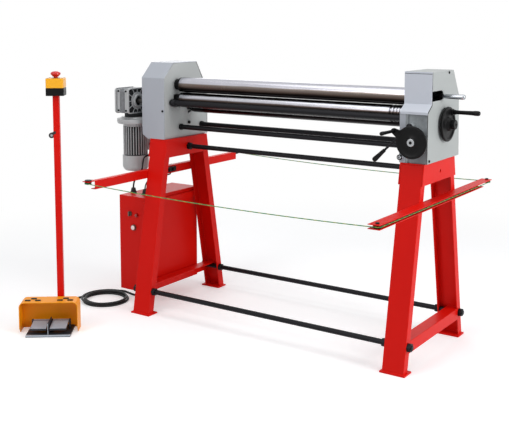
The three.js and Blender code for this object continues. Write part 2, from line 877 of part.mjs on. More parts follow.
// Right housing
const rightHouse = group();
const coverInnerTop = houseTop - coverWall;
const frameTop = coverInnerTop - fit;
const sheetInner = coverWall + fit;
const insideFront = sideFrontUpper + sheetInner;
const insideLower = sideFrontLower + sheetInner;
const insideRear = sideRear - sheetInner;
const plateProfile = [
  [insideLower, houseLow], [insideRear, houseLow], [sideKneeY - sheetInner, sideKneeZ - 1],
  [sideTopRear - coverWall, frameTop], [insideFront, frameTop], [insideFront, foldTopZ - 2],
  [insideLower, foldLowZ - 3],
];
const caseFront = insideLower + caseRecess;
const caseRight = rightOuter - sheetInner;
const bossFront = pinchWheelFront + pinchWheelThick + 14;
const lockBack = lockFront + lockThick;
const lugTop = releaseZ - releaseHubHeight / 2 - fit;
const rightFrame = join(
  prismX(plateProfile, rightInner, rightFrameOuter),
  box(rightFrameOuter - 1, caseRight, caseFront, caseBack, houseLow, lipLowZ - fit),
  rodY(pinchWheelX, pinchWheelZ, 28, bossFront, caseFront + 1),
  rodY(lockX, lockZ, lockHubRadius, lockBack + fit, caseFront + 1),
  rodY(ringBossX, ringBossZ, 7, insideLower - 14, insideLower + 1, 16),
  box(rightFrameOuter - 1, releaseX + releaseHubRadius, releaseY - releaseHubRadius,
    releaseY + releaseHubRadius, lugTop - 14, lugTop),
  rodZ(releaseX, releaseY, 5, lugTop - 1, lugTop + releaseHubHeight - 3, 12));
add(rightHouse, "right_side_frame",
  cut(rightFrame,
    ...frameOpenings(rightInner - 1, rightFrameOuter + 0.01),
    rodY(pinchWheelX, pinchWheelZ, pinchSpindleRadius + runningFit, bossFront - 1, caseBack + 1),
    rodY(lockX, lockZ, 6 + runningFit, lockBack - 1, caseBack + 1, 16)), greyPaint);

add(rightHouse, "right_front_cover",
  prismX([
    [sideFrontUpper, houseTop], [sideFrontUpper, foldTopZ], [sideFrontLower, foldLowZ],
    [sideFrontLower, lipLowZ], [sideFrontLower + coverWall, lipLowZ],
    [sideFrontLower + coverWall, foldLowZ - 1.2], [sideFrontUpper + coverWall, foldTopZ - 1.2],
    [sideFrontUpper + coverWall, houseTop],
  ], rightInner + coverReach, rightOuter), greyPaint);

const sideOuter = prismX([
  [insideLower, houseLow], [sideRear, houseLow], [sideKneeY, sideKneeZ],
  [sideTopRear, houseTop], [insideFront, houseTop],
  [insideFront, foldTopZ - 2], [insideLower, foldLowZ - 3],
], rightInner + coverReach, rightOuter);
const sideInner = prismX([
  [2 * sideFrontLower, houseLow - 1], [sideRear - coverWall, houseLow - 1],
  [sideKneeY - coverWall, sideKneeZ - 1], [sideTopRear - coverWall / 2, coverInnerTop],
  [2 * sideFrontLower, coverInnerTop],
], rightInner, rightOuter - coverWall);
const slotMiddle = (slotLow + slotHigh) / 2;
const slotRadius = (slotHigh - slotLow) / 2;
const slot = join(
  box(rightOuter - 2 * coverWall, rightOuter + 1, 2 * sideFrontUpper, slotEndY - slotRadius,
    slotLow, slotHigh),
  rodX(slotEndY - slotRadius, slotMiddle, slotRadius, rightOuter - 2 * coverWall, rightOuter + 1));
add(rightHouse, "right_side_cover",
  cut(sideOuter, sideInner, slot,
    rodX(bendWheelY, bendWheelZ, bendSpindleRadius + runningFit, rightOuter - 2 * coverWall,
      rightOuter + 1)), greyPaint);

// Front handwheel with its worm, and the grip that turns on its pin
const pinchDrive = group(pinchWheelX, 0, pinchWheelZ);
const wheelBack = pinchWheelFront + pinchWheelThick;
const lugLength = Math.hypot(lugX, lugZ);
const lugTurn = Math.atan2(lugZ, lugX);
const lugArm = prismY([
  [0, -lugRadius], [lugLength, -lugRadius], [lugLength, lugRadius], [0, lugRadius],
], pinchWheelFront, wheelBack).rotateY(-lugTurn);
const wormBack = pinchShaftY + wormLength / 2;
const pinFront = pinchWheelFront - pinchGripLength + gripEndWall;
add(pinchDrive, "pinch_handwheel",
  join(
    rod(pinchWheelRadius, pinchWheelFront, wheelBack, "y", wheelSides),
    lugArm,
    rod(lugRadius, pinchWheelFront, wheelBack, "y").translate(lugX, 0, lugZ),
    rod(hubRadius, pinchWheelFront - 5, bossFront - fit, "y"),
    rod(gripPinRadius, pinFront, pinchWheelFront + 1, "y", 12).translate(lugX, 0, lugZ),
    turned([[pinchWheelFront, pinchSpindleRadius], [wormBack - wormLength, pinchSpindleRadius],
      [wormBack - wormLength, wormRadius], [wormBack, wormRadius]], "y")), blackPlastic);

function grip(radius, length, axis, sign) {
  const along = [0, 0.08, 0.5, 0.92, 1].map((share) => lerp(fit, length, share));
  const widths = [0.8, 0.95, 0.9, 1, 0.7].map((share) => share * radius);
  const profile = along.map((distance, i) => [sign * distance, widths[i]]);
  const hole = [[-1, gripPinRadius + runningFit], [length - gripEndWall + fit,
    gripPinRadius + runningFit]].map(([distance, r]) => [sign * distance, r]);
  if (sign < 0) {
    profile.reverse();
    hole.reverse();
  }
  return cut(turned(profile, axis), turned(hole, axis, 12));
}
add(group(pinchWheelX + lugX, pinchWheelFront, pinchWheelZ + lugZ), "pinch_grip",
  grip(pinchGripRadius, pinchGripLength, "y", -1), blackPlastic);

// Lock lever: hub and shaft along Y, a thin arm and a thick tapered grip
const lockArm = turned([
  [0, 5], [lockLength - lockGripLength, 5], [lockLength - lockGripLength, 8],
  [lockLength - 8, 11.5], [lockLength, 8],
], "x", 16).rotateY(-rad(lockAngle)).translate(0, lockFront + lockThick / 2, 0);
add(group(lockX, 0, lockZ), "lock_lever",
  join(rod(lockHubRadius, lockFront, lockBack, "y"),
    rod(6, lockFront + 1, caseBack + 6, "y", 16), lockArm), darkSteel);

// Side handwheel with its sprocket, its grip and the chain to the rear cross shaft
const bendDrive = group(0, bendWheelY, bendWheelZ);
const hubEnd = bendWheelX + bendWheelThick + bendHubLength;
const bendPinEnd = bendWheelX + bendWheelThick + bendGripLength - gripEndWall;
add(bendDrive, "bend_handwheel",
  join(
    turned([
      [bendSpindleStart, bendSpindleRadius], [sprocketX, bendSpindleRadius],
      [sprocketX, sprocketRadius], [sprocketX + sprocketWidth, sprocketRadius],
      [sprocketX + sprocketWidth, bendSpindleRadius], [rightOuter + fit, bendSpindleRadius],
      [rightOuter + fit, 16], [bendWheelX, 18], [bendWheelX, bendWheelRadius],
      [bendWheelX + bendWheelThick, bendWheelRadius - 2], [bendWheelX + bendWheelThick, 32],
      [hubEnd - 14, 24], [hubEnd, 20],
    ], "x", wheelSides),
    rod(gripPinRadius, bendWheelX + 1, bendPinEnd, "x", 12).translate(0, bendGripY, bendGripZ)),
  blackPlastic);
add(group(bendWheelX + bendWheelThick, bendWheelY + bendGripY, bendWheelZ + bendGripZ),
  "bend_grip", grip(bendGripRadius, bendGripLength, "x", 1), blackPlastic);

// The chain's band runs straight between the two equal sprockets and half round each.
function chainOutline(radius) {
  const dy = bendShaftY - bendWheelY;
  const dz = bendShaftZ - bendWheelZ;
  const across = Math.atan2(dz, dy) + Math.PI / 2;
  const shape = new THREE.Shape();
  shape.absarc(bendWheelY, bendWheelZ, radius, across, across + Math.PI, false);
  shape.absarc(bendShaftY, bendShaftZ, radius, across + Math.PI, across + 2 * Math.PI, false);
  return shape.getPoints(10).map((point) => [point.x, point.y]);
}
const chainInset = 1;
const chainX0 = sprocketX + chainInset;
const chainX1 = sprocketX + sprocketWidth - chainInset;
const chainInnerRadius = sprocketRadius + runningFit;
add(rightHouse, "bend_chain",
  cut(prismX(chainOutline(chainInnerRadius + chainHeight), chainX0, chainX1),
    prismX(chainOutline(chainInnerRadius), chainX0 - 1, chainX1 + 1)), gearSteel);

// Release lever of the top roll's right end, on an upright pin inside the slot
const leverEnd = rightOuter + releaseReach - releaseX;
add(group(releaseX, releaseY, releaseZ), "release_lever",
  cut(
    join(
      rod(releaseHubRadius, -releaseHubHeight / 2, releaseHubHeight / 2, "z"),
      turned([[0, 6], [rightOuter - releaseX, 6.5], [rightOuter - releaseX + 8, 7.5],
        [leverEnd - 16, 11], [leverEnd - 3, 10.5], [leverEnd, 8]], "x", 20)),
    rod(5 + fit, -releaseHubHeight, releaseHubHeight / 2 - 1, "z", 12)), chrome);

// Gear motor: worm reducer on a bracket, motor hanging below it, fan cowl at the bottom
const gearMotor = group();
const bracketBack = reducerBack + 12;
const flangeTop = reducerLow - motorCollar;
const flangeLow = flangeTop - motorFlangeThick;
const bracketRight = leftOuter - fit;
add(gearMotor, "gear_reducer",
  cut(
    join(
      box(reducerLeft, reducerRight, reducerFront, reducerBack, reducerLow, reducerHigh),
      rodX(pinionY, pinionZ, reducerHubRadius, reducerLeft - 8, reducerRight + 10),
      box(reducerLeft + 10, bracketRight, reducerBack - 1, bracketBack, reducerLow + 12,
        reducerHigh - 12),
      box(bracketRight - 8, bracketRight, reducerBack - 30, bracketBack + 60, reducerLow + 2,
        reducerHigh - 2)),
    rodX(pinionY, pinionZ, driveShaftRadius + runningFit, reducerLeft - 9, reducerRight + 11)),
  motorPaint);

function ribbedOutline() {
  const points = [];
  for (let k = 0; k < motorRibs; k++) {
    for (const [share, radius] of [
      [0, motorRadius], [0.3, motorRadius], [0.42, motorRadius + motorRib],
      [0.78, motorRadius + motorRib],
    ]) {
      const angle = (2 * Math.PI * (k + share)) / motorRibs;
      points.push([radius * Math.cos(angle), radius * Math.sin(angle)]);
    }
  }
  return points;
}

const terminalBack = motorRadius + terminalDepth;
add(group(motorX, motorY), "motor",
  join(
    prismZ(ribbedOutline(), motorLow, flangeLow + 1),
    rod(motorFlangeRadius, flangeLow, flangeTop, "z", wheelSides),
    rod(55, flangeTop - 1, reducerLow - fit, "z"),
    rod(endBellRadius, motorLow - 14, motorLow + 1, "z"),
    box(-terminalWidth / 2, terminalWidth / 2, motorRadius - 5, terminalBack, terminalLow,
      terminalLow + terminalHeight),
    rodX(terminalBack - 18, terminalLow + terminalHeight / 2, 8, terminalWidth / 2 - 1,
      terminalWidth / 2 + 10, 16)),
  motorPaint);
const cowlTop = motorLow - fit;
add(group(motorX, motorY), "fan_cowl",
  cut(
    turned([[cowlLow, cowlRadius - 16], [cowlLow + 5, cowlRadius - 6],
      [cowlLow + 16, cowlRadius], [cowlTop, cowlRadius]], "z", rollSides),
    turned([[cowlLow + 4, cowlRadius - 18], [cowlLow + 18, cowlRadius - cowlWall],
      [cowlTop - 4, cowlRadius - cowlWall], [cowlTop - 4, endBellRadius + 3],
      [cowlTop + 1, endBellRadius + 3]], "z", rollSides)), motorPaint);

// Cabinet, open on its outer side where the door closes it
const cabinet = group();
const railRight = -legFace;
const upperRailZ = cabinetHigh - upperRailDrop;
const upperRailHalf = webY(upperRailZ) - 10;
const beamMiddle = beamTop - beamDrop / 2;
const hingeX = cabinetLeft - sheetWall - fit;
const hingeY = cabinetBack + 5;
const hingeRadius = 4.5;
const hingeSpots = [cabinetLow + hingeBelow, cabinetHigh - hingeAbove];
const knuckle = 24;

function topGland(x) {
  return turned([[cabinetHigh - 1, glandRadius + 2], [cabinetHigh + 6, glandRadius + 2],
    [cabinetHigh + 6, glandRadius], [cabinetHigh + glandHeight, glandRadius - 2]], "z", 16)
    .translate(x, topGlandY, 0);
}

const hingeLeaves = hingeSpots.flatMap((z) => [
  rodZ(hingeX, hingeY, hingeRadius, z, z + knuckle, 12),
  box(hingeX, cabinetLeft + 3, cabinetBack + fit, cabinetBack + 4, z, z + knuckle),
  box(cabinetLeft + 1, cabinetLeft + 3, cabinetBack - 1, cabinetBack + 4, z, z + knuckle),
]);
add(cabinet, "cabinet_body",
  cut(
    join(
      cut(box(cabinetLeft, cabinetRight, cabinetFront, cabinetBack, cabinetLow, cabinetHigh),
        box(cabinetLeft - 1, cabinetRight - sheetWall, cabinetFront + sheetWall,
          cabinetBack - sheetWall, cabinetLow + sheetWall, cabinetHigh - sheetWall)),
      box(cabinetRight - 1, railRight, -upperRailHalf, upperRailHalf, upperRailZ,
        upperRailZ + railHeight),
      box(cabinetRight - 1, railRight, -lowerRailHalf, lowerRailHalf,
        beamMiddle - railHeight / 2, beamMiddle + railHeight / 2),
      topGland(motorGlandX), topGland(switchGlandX),
      rodZ(pedalGlandX, pedalGlandY, glandRadius + 2, cabinetLow - pedalGlandDrop,
        cabinetLow + 1, 16),
      turned([[cabinetFront - 9, 7], [cabinetFront - 6, 11], [cabinetFront + 1, 12]], "y", 20)
        .translate(lampX, 0, lampZ),
      ...hingeLeaves),
    rodY(keyX, keyZ, 6 + fit, cabinetFront - 1, cabinetFront + sheetWall + 1, 16)), redPaint);

const doorBarrels = hingeSpots.flatMap((z) => [
  rodZ(hingeX, hingeY, hingeRadius, z + knuckle + fit, z + 2 * knuckle, 12),
  box(hingeX, cabinetLeft - fit, cabinetBack - 1, cabinetBack + 4, z + knuckle + fit,
    z + 2 * knuckle),
]);
add(cabinet, "cabinet_door",
  join(box(hingeX, cabinetLeft - fit, cabinetFront, cabinetBack, cabinetLow, cabinetHigh),
    ...doorBarrels), redPaint);
add(group(keyX, 0, keyZ), "key_switch",
  join(
    rod(13, cabinetFront - 6, cabinetFront - fit, "y"),
    rod(6, cabinetFront - 7, cabinetFront + 14, "y", 16),
    box(-3.5, 3.5, cabinetFront - 16, cabinetFront - 5, -12, 12)), blackPlastic);

// Safety rope arms with their pulleys, trip switch and rope
const arms = group();

function ropePulley(x, y, name) {
  const half = pulleyHeight / 2;
  const wheel = turned([[-half, pulleyRadius], [-half + 2, pulleyRadius],
    [-1.2, pulleyGroove], [1.2, pulleyGroove], [half - 2, pulleyRadius], [half, pulleyRadius]],
  "z", 16);
  add(group(x, y, ropeZ), name, cut(wheel, rod(pulleyPin + runningFit, -half - 1, half + 1, "z", 12)),
    blackPlastic);
}

// A bolt head above the top flange, its shank down through the pulley, and a washer below.
function pulleyBolt(x, y, low) {
  return join(
    rod(pulleyPin, low, armTop + 2, "z", 12),
    rod(8, armTop - 1, armTop + 6, "z", 6),
    rod(7, low, low + 2, "z", 12)).translate(x, y, 0);
}

const boltLow = ropeZ - pulleyHeight / 2 - 2 - fit;
const rightTop = box(legFace, legFace + rightArmWidth, rightArmFront, rightArmBack,
  armTop - armWall, armTop);
add(arms, "right_arm",
  join(
    rightTop,
    box(legFace, legFace + rightArmWidth, rightArmFront, rightFlangeBack,
      armTop - rightArmHeight, armTop - rightArmHeight + armWall),
    box(legFace, legFace + armWall, rightArmFront + webSetback, rightArmBack - webSetback,
      armTop - rightArmHeight, armTop),
    pulleyBolt(rightPulleyX, rightPulleyFrontY, boltLow),
    pulleyBolt(rightPulleyX, rightPulleyBackY, boltLow)), redPaint);
const leftFlange = (front, back, z0) =>
  box(-legFace - leftArmWidth, -legFace, front, back, z0, z0 + armWall);
const leftEye = (front) =>
  box(-legFace - leftEyeWidth, -legFace, front, front + leftEyeLength, armTop - armWall, armTop);
add(arms, "left_arm",
  join(
    leftFlange(leftArmFront, leftArmBack, armTop - armWall),
    leftFlange(leftArmFront + webSetback, leftArmBack - webSetback, armTop - leftArmHeight),
    box(-legFace - armWall, -legFace, leftArmFront + webSetback, leftArmBack - webSetback,
      armTop - leftArmHeight, armTop),
    leftEye(leftArmFront), leftEye(leftArmBack - leftEyeLength),
    pulleyBolt(leftPulleyX, leftPulleyFrontY, boltLow),
    pulleyBolt(leftPulleyX, leftPulleyBackY, boltLow)), redPaint);
ropePulley(leftPulleyX, leftPulleyFrontY, "left_front_pulley");
ropePulley(leftPulleyX, leftPulleyBackY, "left_rear_pulley");
ropePulley(rightPulleyX, rightPulleyFrontY, "right_front_pulley");
ropePulley(rightPulleyX, rightPulleyBackY, "right_rear_pulley");

const tripX = leftPulleyX - ropeWrap;
const tripFront = tripY - tripLength / 2;
const tripBack = tripY + tripLength / 2;
add(arms, "trip_switch",
  join(
    box(tripX - 9, -legFace - armWall - fit, tripFront, tripBack, armTop - leftArmHeight + armWall
      + fit, armTop - armWall - fit),
    rodY(tripX, ropeZ, 4, tripFront - 12, tripFront + 1, 12),
    rodY(tripX, ropeZ, 4, tripBack - 1, tripBack + 12, 12)), blackPlastic);

// The rope runs from the switch round all four pulleys and back to the switch.
function cornerArc(x, y, from, to) {
  const points = [];
  for (let k = 0; k <= 6; k++) {
    const angle = rad(lerp(from, to, k / 6));
    points.push([x + ropeWrap * Math.cos(angle), y + ropeWrap * Math.sin(angle), ropeZ]);
  }
  return points;
}

function hangingRun(from, to) {
  const points = [];
  for (let k = 1; k < 10; k++) {
    const share = k / 10;
    points.push([lerp(from[0], to[0], share), lerp(from[1], to[1], share),
      ropeZ - 4 * ropeSag * share * (1 - share)]);
  }
  return points;
}

const frontLeft = cornerArc(leftPulleyX, leftPulleyFrontY, 180, 270);
const frontRight = cornerArc(rightPulleyX, rightPulleyFrontY, 270, 360);
const rearRight = cornerArc(rightPulleyX, rightPulleyBackY, 0, 90);
const rearLeft = cornerArc(leftPulleyX, leftPulleyBackY, 90, 180);
const lastOf = (list) => list[list.length - 1];
const ropePath = [
  [tripX, tripFront - 12 - fit, ropeZ],
  ...frontLeft, ...hangingRun(lastOf(frontLeft), frontRight[0]),
  ...frontRight, ...rearRight, ...hangingRun(lastOf(rearRight), rearLeft[0]),
  ...rearLeft, [tripX, tripBack + 12 + fit, ropeZ],
];
add(arms, "safety_rope", sweep(vectors(ropePath), ropeRadius, 6), ropeCover);

// Pedal station, in its own frame: X along the hood, Y to its rear
const station = group(stationX, stationY);
station.rotation.z = rad(stationYaw);
const plateRight = plateLeft + plateWidth;
const plateMiddle = plateLeft + plateWidth / 2;
const leftPedalX = plateMiddle - pedalGap / 2 - pedalWidth;
const rightPedalX = plateMiddle + pedalGap / 2;
const hoodBack = hoodDepth - hoodWall;

function arch(inset) {
  const shape = new THREE.Shape();
  const right = hoodWidth - inset;
  const top = hoodHeight - inset;
  const radius = hoodRadius - inset;
  shape.moveTo(inset, 0);
  shape.lineTo(right, 0);
  shape.lineTo(right, top - radius);
  shape.absarc(right - radius, top - radius, radius, 0, Math.PI / 2, false);
  shape.lineTo(inset + radius, top);
  shape.absarc(inset + radius, top - radius, radius, Math.PI / 2, Math.PI, false);
  return shape.getPoints(6).map((point) => [point.x, point.y]);
}

function ear(x0, x1) {
  return join(
    box(x0, x1, pedalHingeY - earHalf, pedalHingeY + earHalf, plateThick - 1, pedalHingeZ),
    rodX(pedalHingeY, pedalHingeZ, earHalf, x0, x1, 16));
}

const pinLeft = leftPedalX - earWidth;
const pinRight = rightPedalX + pedalWidth + earWidth;
add(station, "pedal_base",
  join(
    box(plateLeft, plateRight, plateFront, plateBack, 0, plateThick),
    ear(pinLeft, leftPedalX - fit),
    ear(plateMiddle - pedalGap / 2 + fit, plateMiddle + pedalGap / 2 - fit),
    ear(rightPedalX + pedalWidth + fit, pinRight),
    box(plateMiddle - dividerThick / 2, plateMiddle + dividerThick / 2,
      plateFront + dividerSetback, pedalHingeY, plateThick - 1, dividerTop),
    rodX(pedalHingeY, pedalHingeZ, pedalPin, pinLeft, pinRight, 12)), pedalMetal);

function vent(x, y) {
  return box(x - ventLength / 2, x + ventLength / 2, y - ventWidth / 2, y + ventWidth / 2,
    hoodHeight - 2 * hoodWall, hoodHeight + 1);
}
const vents = [[62, 58], [38, 30], [86, 30]].flatMap(([x, y]) => [
  vent(x, y), vent(hoodWidth - x, y)]);
const frontBevel = prismX([[-1, -1], [hoodBevel, -1], [-1, hoodBevel]], -1, hoodWidth + 1);
const plateSlot = box(plateLeft - fit, plateRight + fit, hoodBack - 1, hoodDepth + 1, -1,
  plateThick + fit);
add(station, "pedal_hood",
  cut(
    join(
      cut(prismY(arch(0), 0, hoodDepth), prismY(arch(hoodWall), -1, hoodBack)
        .translate(0, 0, -0.5)),
      rodY(hoodGlandX, hoodGlandZ, 10, hoodDepth - 1, hoodDepth + hoodGlandLength, 16)),
    frontBevel, plateSlot, ...vents), orangePaint);

const pedalLength = Math.hypot(pedalHingeY - pedalNoseY, pedalHingeZ - pedalNoseZ);
const pedalTilt = Math.atan2(pedalHingeZ - pedalNoseZ, pedalHingeY - pedalNoseY);
for (const [name, x] of [["left_pedal", leftPedalX], ["right_pedal", rightPedalX]]) {
  const tread = box(0, pedalWidth, -pedalLength, 0, -pedalThick / 2, pedalThick / 2);
  const blade = cut(join(tread, rod(pedalBarrel, 0, pedalWidth, "x", 20)),
    rod(pedalPin + runningFit, -1, pedalWidth + 1, "x", 16));
  const pedal = add(group(x, pedalHingeY, pedalHingeZ, station), name, blade, pedalMetal);
  pedal.rotation.x = pedalTilt;
}

const postX0 = postCentreX - postSide / 2;
const postY0 = postCentreY - postSide / 2;
const footHalf = postFootSide / 2;
add(station, "estop_post",
  join(
    box(postX0, postX0 + postSide, postY0, postY0 + postSide, plateThick + fit, postTop),
    box(postCentreX - footHalf, postCentreX + footHalf, hoodDepth + runningFit, plateBack,
      plateThick + fit, plateThick + fit + postFootThick)), redPaint);
const boxLow = postTop + fit;
const boxMiddle = boxLow + boxBaseHeight;
const boxTop = boxMiddle + boxLidHeight;
const boxHalf = boxSide / 2;
const boxGroup = group(postCentreX, postCentreY, 0, station);
add(boxGroup, "estop_box",
  cut(
    join(
      box(-boxHalf, boxHalf, -boxHalf, boxHalf, boxLow, boxMiddle + 1),
      box(-boxHalf + 1, boxHalf - 1, -boxHalf + 1, boxHalf - 1, boxMiddle, boxTop)),
    rod(buttonStem + runningFit, boxTop - 22, boxTop + 1, "z", 20)), yellowPlastic);
add(boxGroup, "estop_button",
  turned([[boxTop - 16, buttonStem], [boxTop + buttonLift - 3, buttonStem],
    [boxTop + buttonLift, buttonRadius], [boxTop + buttonLift + 0.4 * buttonHeight, buttonRadius],
    [boxTop + buttonLift + 0.8 * buttonHeight, 0.8 * buttonRadius],
    [boxTop + buttonLift + buttonHeight, 0.45 * buttonRadius]], "z"), redPlastic);

// Pedal cable: a lead from the hood, a coil on the floor and a lead into the cabinet
const cables = group();
const layerStep = 2 * pedalCable + coilLayerGap;
const climbTurns = 0.5;
const coilTurns = coilLoops + (coilStart - coilEnd) / 360;
const spiralTurns = (coilTurns - climbTurns) / 2;

// The coil's path by turns from its start: in on the floor, up in half a turn, out on top.
function coilPoint(turn) {
  const outwards = Math.max(turn - spiralTurns - climbTurns, 0);
  const inwards = Math.min(turn, spiralTurns);
  const climb = THREE.MathUtils.clamp((turn - spiralTurns) / climbTurns, 0, 1);
  const radius = coilRadius - coilPitch * (inwards - outwards);
  const angle = rad(coilStart - 360 * turn);
  return new THREE.Vector3(
    coilX + radius * Math.cos(angle),
    coilY + radius * Math.sin(angle),
    pedalCable + layerStep * climb);
}

const coilSteps = Math.round(coilTurns * loopSteps);
const coilPath = [];
for (let k = 0; k <= coilSteps; k++) coilPath.push(coilPoint((coilTurns * k) / coilSteps));
function runOn(path, from, to) {
  return path[to].clone().sub(path[from]).setZ(0).setLength(2 * pedalCable).add(path[to]);
}
const coilEntry = runOn(coilPath, 1, 0);
const coilExit = runOn(coilPath, coilSteps - 1, coilSteps);
coilPath.unshift(coilEntry);
coilPath.push(coilExit);
add(cables, "cable_coil", sweep(coilPath, pedalCable, 6), cableRubber);

let leastGap = Infinity;
for (let i = 0; i < coilPath.length; i++) {
  for (let j = i + Math.round(loopSteps / 2); j < coilPath.length; j++) {
    leastGap = Math.min(leastGap, coilPath[i].distanceTo(coilPath[j]) - 2 * pedalCable);
  }
}
console.log("cable_coil: least gap to itself " + leastGap.toFixed(2) + " mm");

const toStation = (x, y, z) => new THREE.Vector3(x, y, z)
  .applyAxisAngle(new THREE.Vector3(0, 0, 1), rad(stationYaw))
  .add(new THREE.Vector3(stationX, stationY, 0)).toArray();
const hoodExitY = hoodDepth + hoodGlandLength + fit;

// A point straight on from an end of the coil.
const beyond = (end, neighbour, distance) => end.clone()
  .addScaledVector(end.clone().sub(neighbour).setZ(0).normalize(), distance).toArray();
const entryFrom = (distance) => beyond(coilEntry, coilPath[1], distance);
const exitTo = (distance) => beyond(coilExit, coilPath[coilPath.length - 2], distance);
const pedalRoute = [
  toStation(hoodGlandX, hoodExitY, hoodGlandZ),
  toStation(hoodGlandX, hoodExitY + 24, hoodGlandZ),
  toStation(hoodGlandX + 1, hoodExitY + 60, 12),
  [-1058, -614, 6], [-1096, -545, 6], [-1126, -475, 6], [-1143, -400, 6],
  entryFrom(60), entryFrom(28), entryFrom(fit),
];
add(cables, "pedal_cable", cable(pedalRoute, pedalCable, 26), cableRubber);
const pedalGlandEnd = cabinetLow - pedalGlandDrop - 2 * fit;
const cabinetRoute = [
  exitTo(fit), exitTo(22), [-963, -117, 14], [-935, -111, 8], [-908, -98, 6], [-886, -78, 8],
  [-868, -56, 17], [-855, -38, 33], [pedalGlandX, pedalGlandY, pedalGlandEnd - 10],
  [pedalGlandX, pedalGlandY, pedalGlandEnd],
];
add(cables, "cabinet_cable", cable(cabinetRoute, pedalCable, 18), cableRubber);

// Motor cable and switch cable, from the glands on the cabinet's top
const glandTop = cabinetHigh + glandHeight + fit;
const terminalFace = motorX + terminalWidth / 2 + 10 + fit;
const terminalY = motorY + terminalBack - 18;
const terminalZ = terminalLow + terminalHeight / 2;
const motorRoute = [
  [motorGlandX, topGlandY, glandTop], [motorGlandX, topGlandY, glandTop + 14],
  [-908, -123, 632], [-886, -128, 656], [-858, -134, 680], [-838, -138, 712],
  [-831, -140, 745], [-825, -133, 770], [-816, -112, 778], [-810, -84, 770],
  [-810, -54, 768], [-818, -26, 782], [-838, -9, 806],
  [terminalFace + 22, terminalY, terminalZ], [terminalFace, terminalY, terminalZ],
];
add(cables, "motor_cable", cable(motorRoute, motorCable, 30), cableRubber);
const switchRoute = [
  [switchGlandX, topGlandY, glandTop], [switchGlandX, topGlandY, glandTop + 12],
  [-834, -116, 622], [-828, -98, 645], [-818, -70, 658], [-806, -36, 662],
  [-796, -8, 662], [-790, 12, 661], [-782, 20, 664], [-777, 20, 671],
];
add(cables, "switch_cable", cable(switchRoute, switchCable, 20), cableRubber);

// The origin is under the middle of the machine and its pedal station, on the floor; the
// cables are left out of that box.
const body = new THREE.Box3();
machine.updateMatrixWorld(true);
machine.traverse((piece) => {
  if (piece.isMesh && piece.material !== cableRubber) body.expandByObject(piece, true);
});
const middle = body.getCenter(new THREE.Vector3());
machine.position.set(-middle.x, -middle.y, -body.min.z);

export default machine;
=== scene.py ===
import json
import math

import bmesh
import bpy
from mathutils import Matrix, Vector

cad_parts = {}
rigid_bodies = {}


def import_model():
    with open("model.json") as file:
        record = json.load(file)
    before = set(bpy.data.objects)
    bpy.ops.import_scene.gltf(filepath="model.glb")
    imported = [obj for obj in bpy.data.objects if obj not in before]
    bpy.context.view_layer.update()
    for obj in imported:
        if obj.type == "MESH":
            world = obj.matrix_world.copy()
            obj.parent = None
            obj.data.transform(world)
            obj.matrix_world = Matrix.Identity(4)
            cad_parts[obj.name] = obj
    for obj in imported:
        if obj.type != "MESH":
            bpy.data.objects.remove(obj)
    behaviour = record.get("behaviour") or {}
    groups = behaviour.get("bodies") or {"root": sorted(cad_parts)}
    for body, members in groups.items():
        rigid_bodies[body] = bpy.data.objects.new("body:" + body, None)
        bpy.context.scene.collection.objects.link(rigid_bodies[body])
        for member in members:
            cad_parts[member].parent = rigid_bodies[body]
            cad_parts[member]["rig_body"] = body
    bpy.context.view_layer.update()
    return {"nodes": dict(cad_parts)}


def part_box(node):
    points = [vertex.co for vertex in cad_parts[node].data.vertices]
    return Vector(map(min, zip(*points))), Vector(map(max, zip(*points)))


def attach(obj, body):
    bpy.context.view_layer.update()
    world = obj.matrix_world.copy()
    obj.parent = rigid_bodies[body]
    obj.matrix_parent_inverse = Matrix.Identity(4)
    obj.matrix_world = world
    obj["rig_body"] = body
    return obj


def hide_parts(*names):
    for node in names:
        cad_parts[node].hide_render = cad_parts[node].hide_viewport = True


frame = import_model()
nodes = frame["nodes"]
scene = bpy.context.scene


# Camera
# It stands off the machine's right front corner at eye height, with a small shift of the lens
# that keeps the uprights upright.
camera_data = bpy.data.cameras.new("camera")
camera_data.sensor_width = 36
camera_data.lens = 64.4
camera_data.shift_y = -0.20
camera = bpy.data.objects.new("camera", camera_data)
camera.location = (2.3667, -3.5643, 1.4854)
camera.rotation_euler = (math.radians(90 - 6.39), 0, math.radians(34.317))
scene.collection.objects.link(camera)
scene.camera = camera
scene.view_settings.view_transform = "Standard"


# Pedal cable, with its coil on the floor
# One length of black rubber cable, 12 mm thick, from the pedal hood over the floor into a loose
# coil and on into the underside of the cabinet.
def box_middle(name):
    low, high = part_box(name)
    return (low + high) / 2


tie_middle = (box_middle("front_tie_rod") + box_middle("rear_tie_rod")) / 2
STATION_YAW = math.radians(36.8)


def at(x, y, z):
    """A point given in millimetres from the machine's middle on the floor."""
    return Vector((tie_middle.x + x / 1000, tie_middle.y + y / 1000, z / 1000))


def at_station(x, y, z):
    """A point given in millimetres from the corner of the pedal hood, square to the hood."""
    across = x * math.cos(STATION_YAW) - y * math.sin(STATION_YAW)
    along = x * math.sin(STATION_YAW) + y * math.cos(STATION_YAW)
    return at(-984.7 + across, -864.4 + along, z)


def feed(tree, node, inputs):
    """Gives sockets of a node a value or another node's output each."""
    for key, value in inputs.items():
        if isinstance(value, bpy.types.NodeSocket):
            tree.links.new(value, node.inputs[key])
        else:
            node.inputs[key].default_value = value
    return node


def place(tree, kind, inputs=None, **settings):
    """Adds a node with its settings and inputs."""
    made = tree.nodes.new(kind)
    for key, value in settings.items():
        setattr(made, key, value)
    return feed(tree, made, inputs or {})


SOCKETS = {"v": "Vector", "c": "Color", "f": "Float", "g": "Geometry", "m": "Material"}


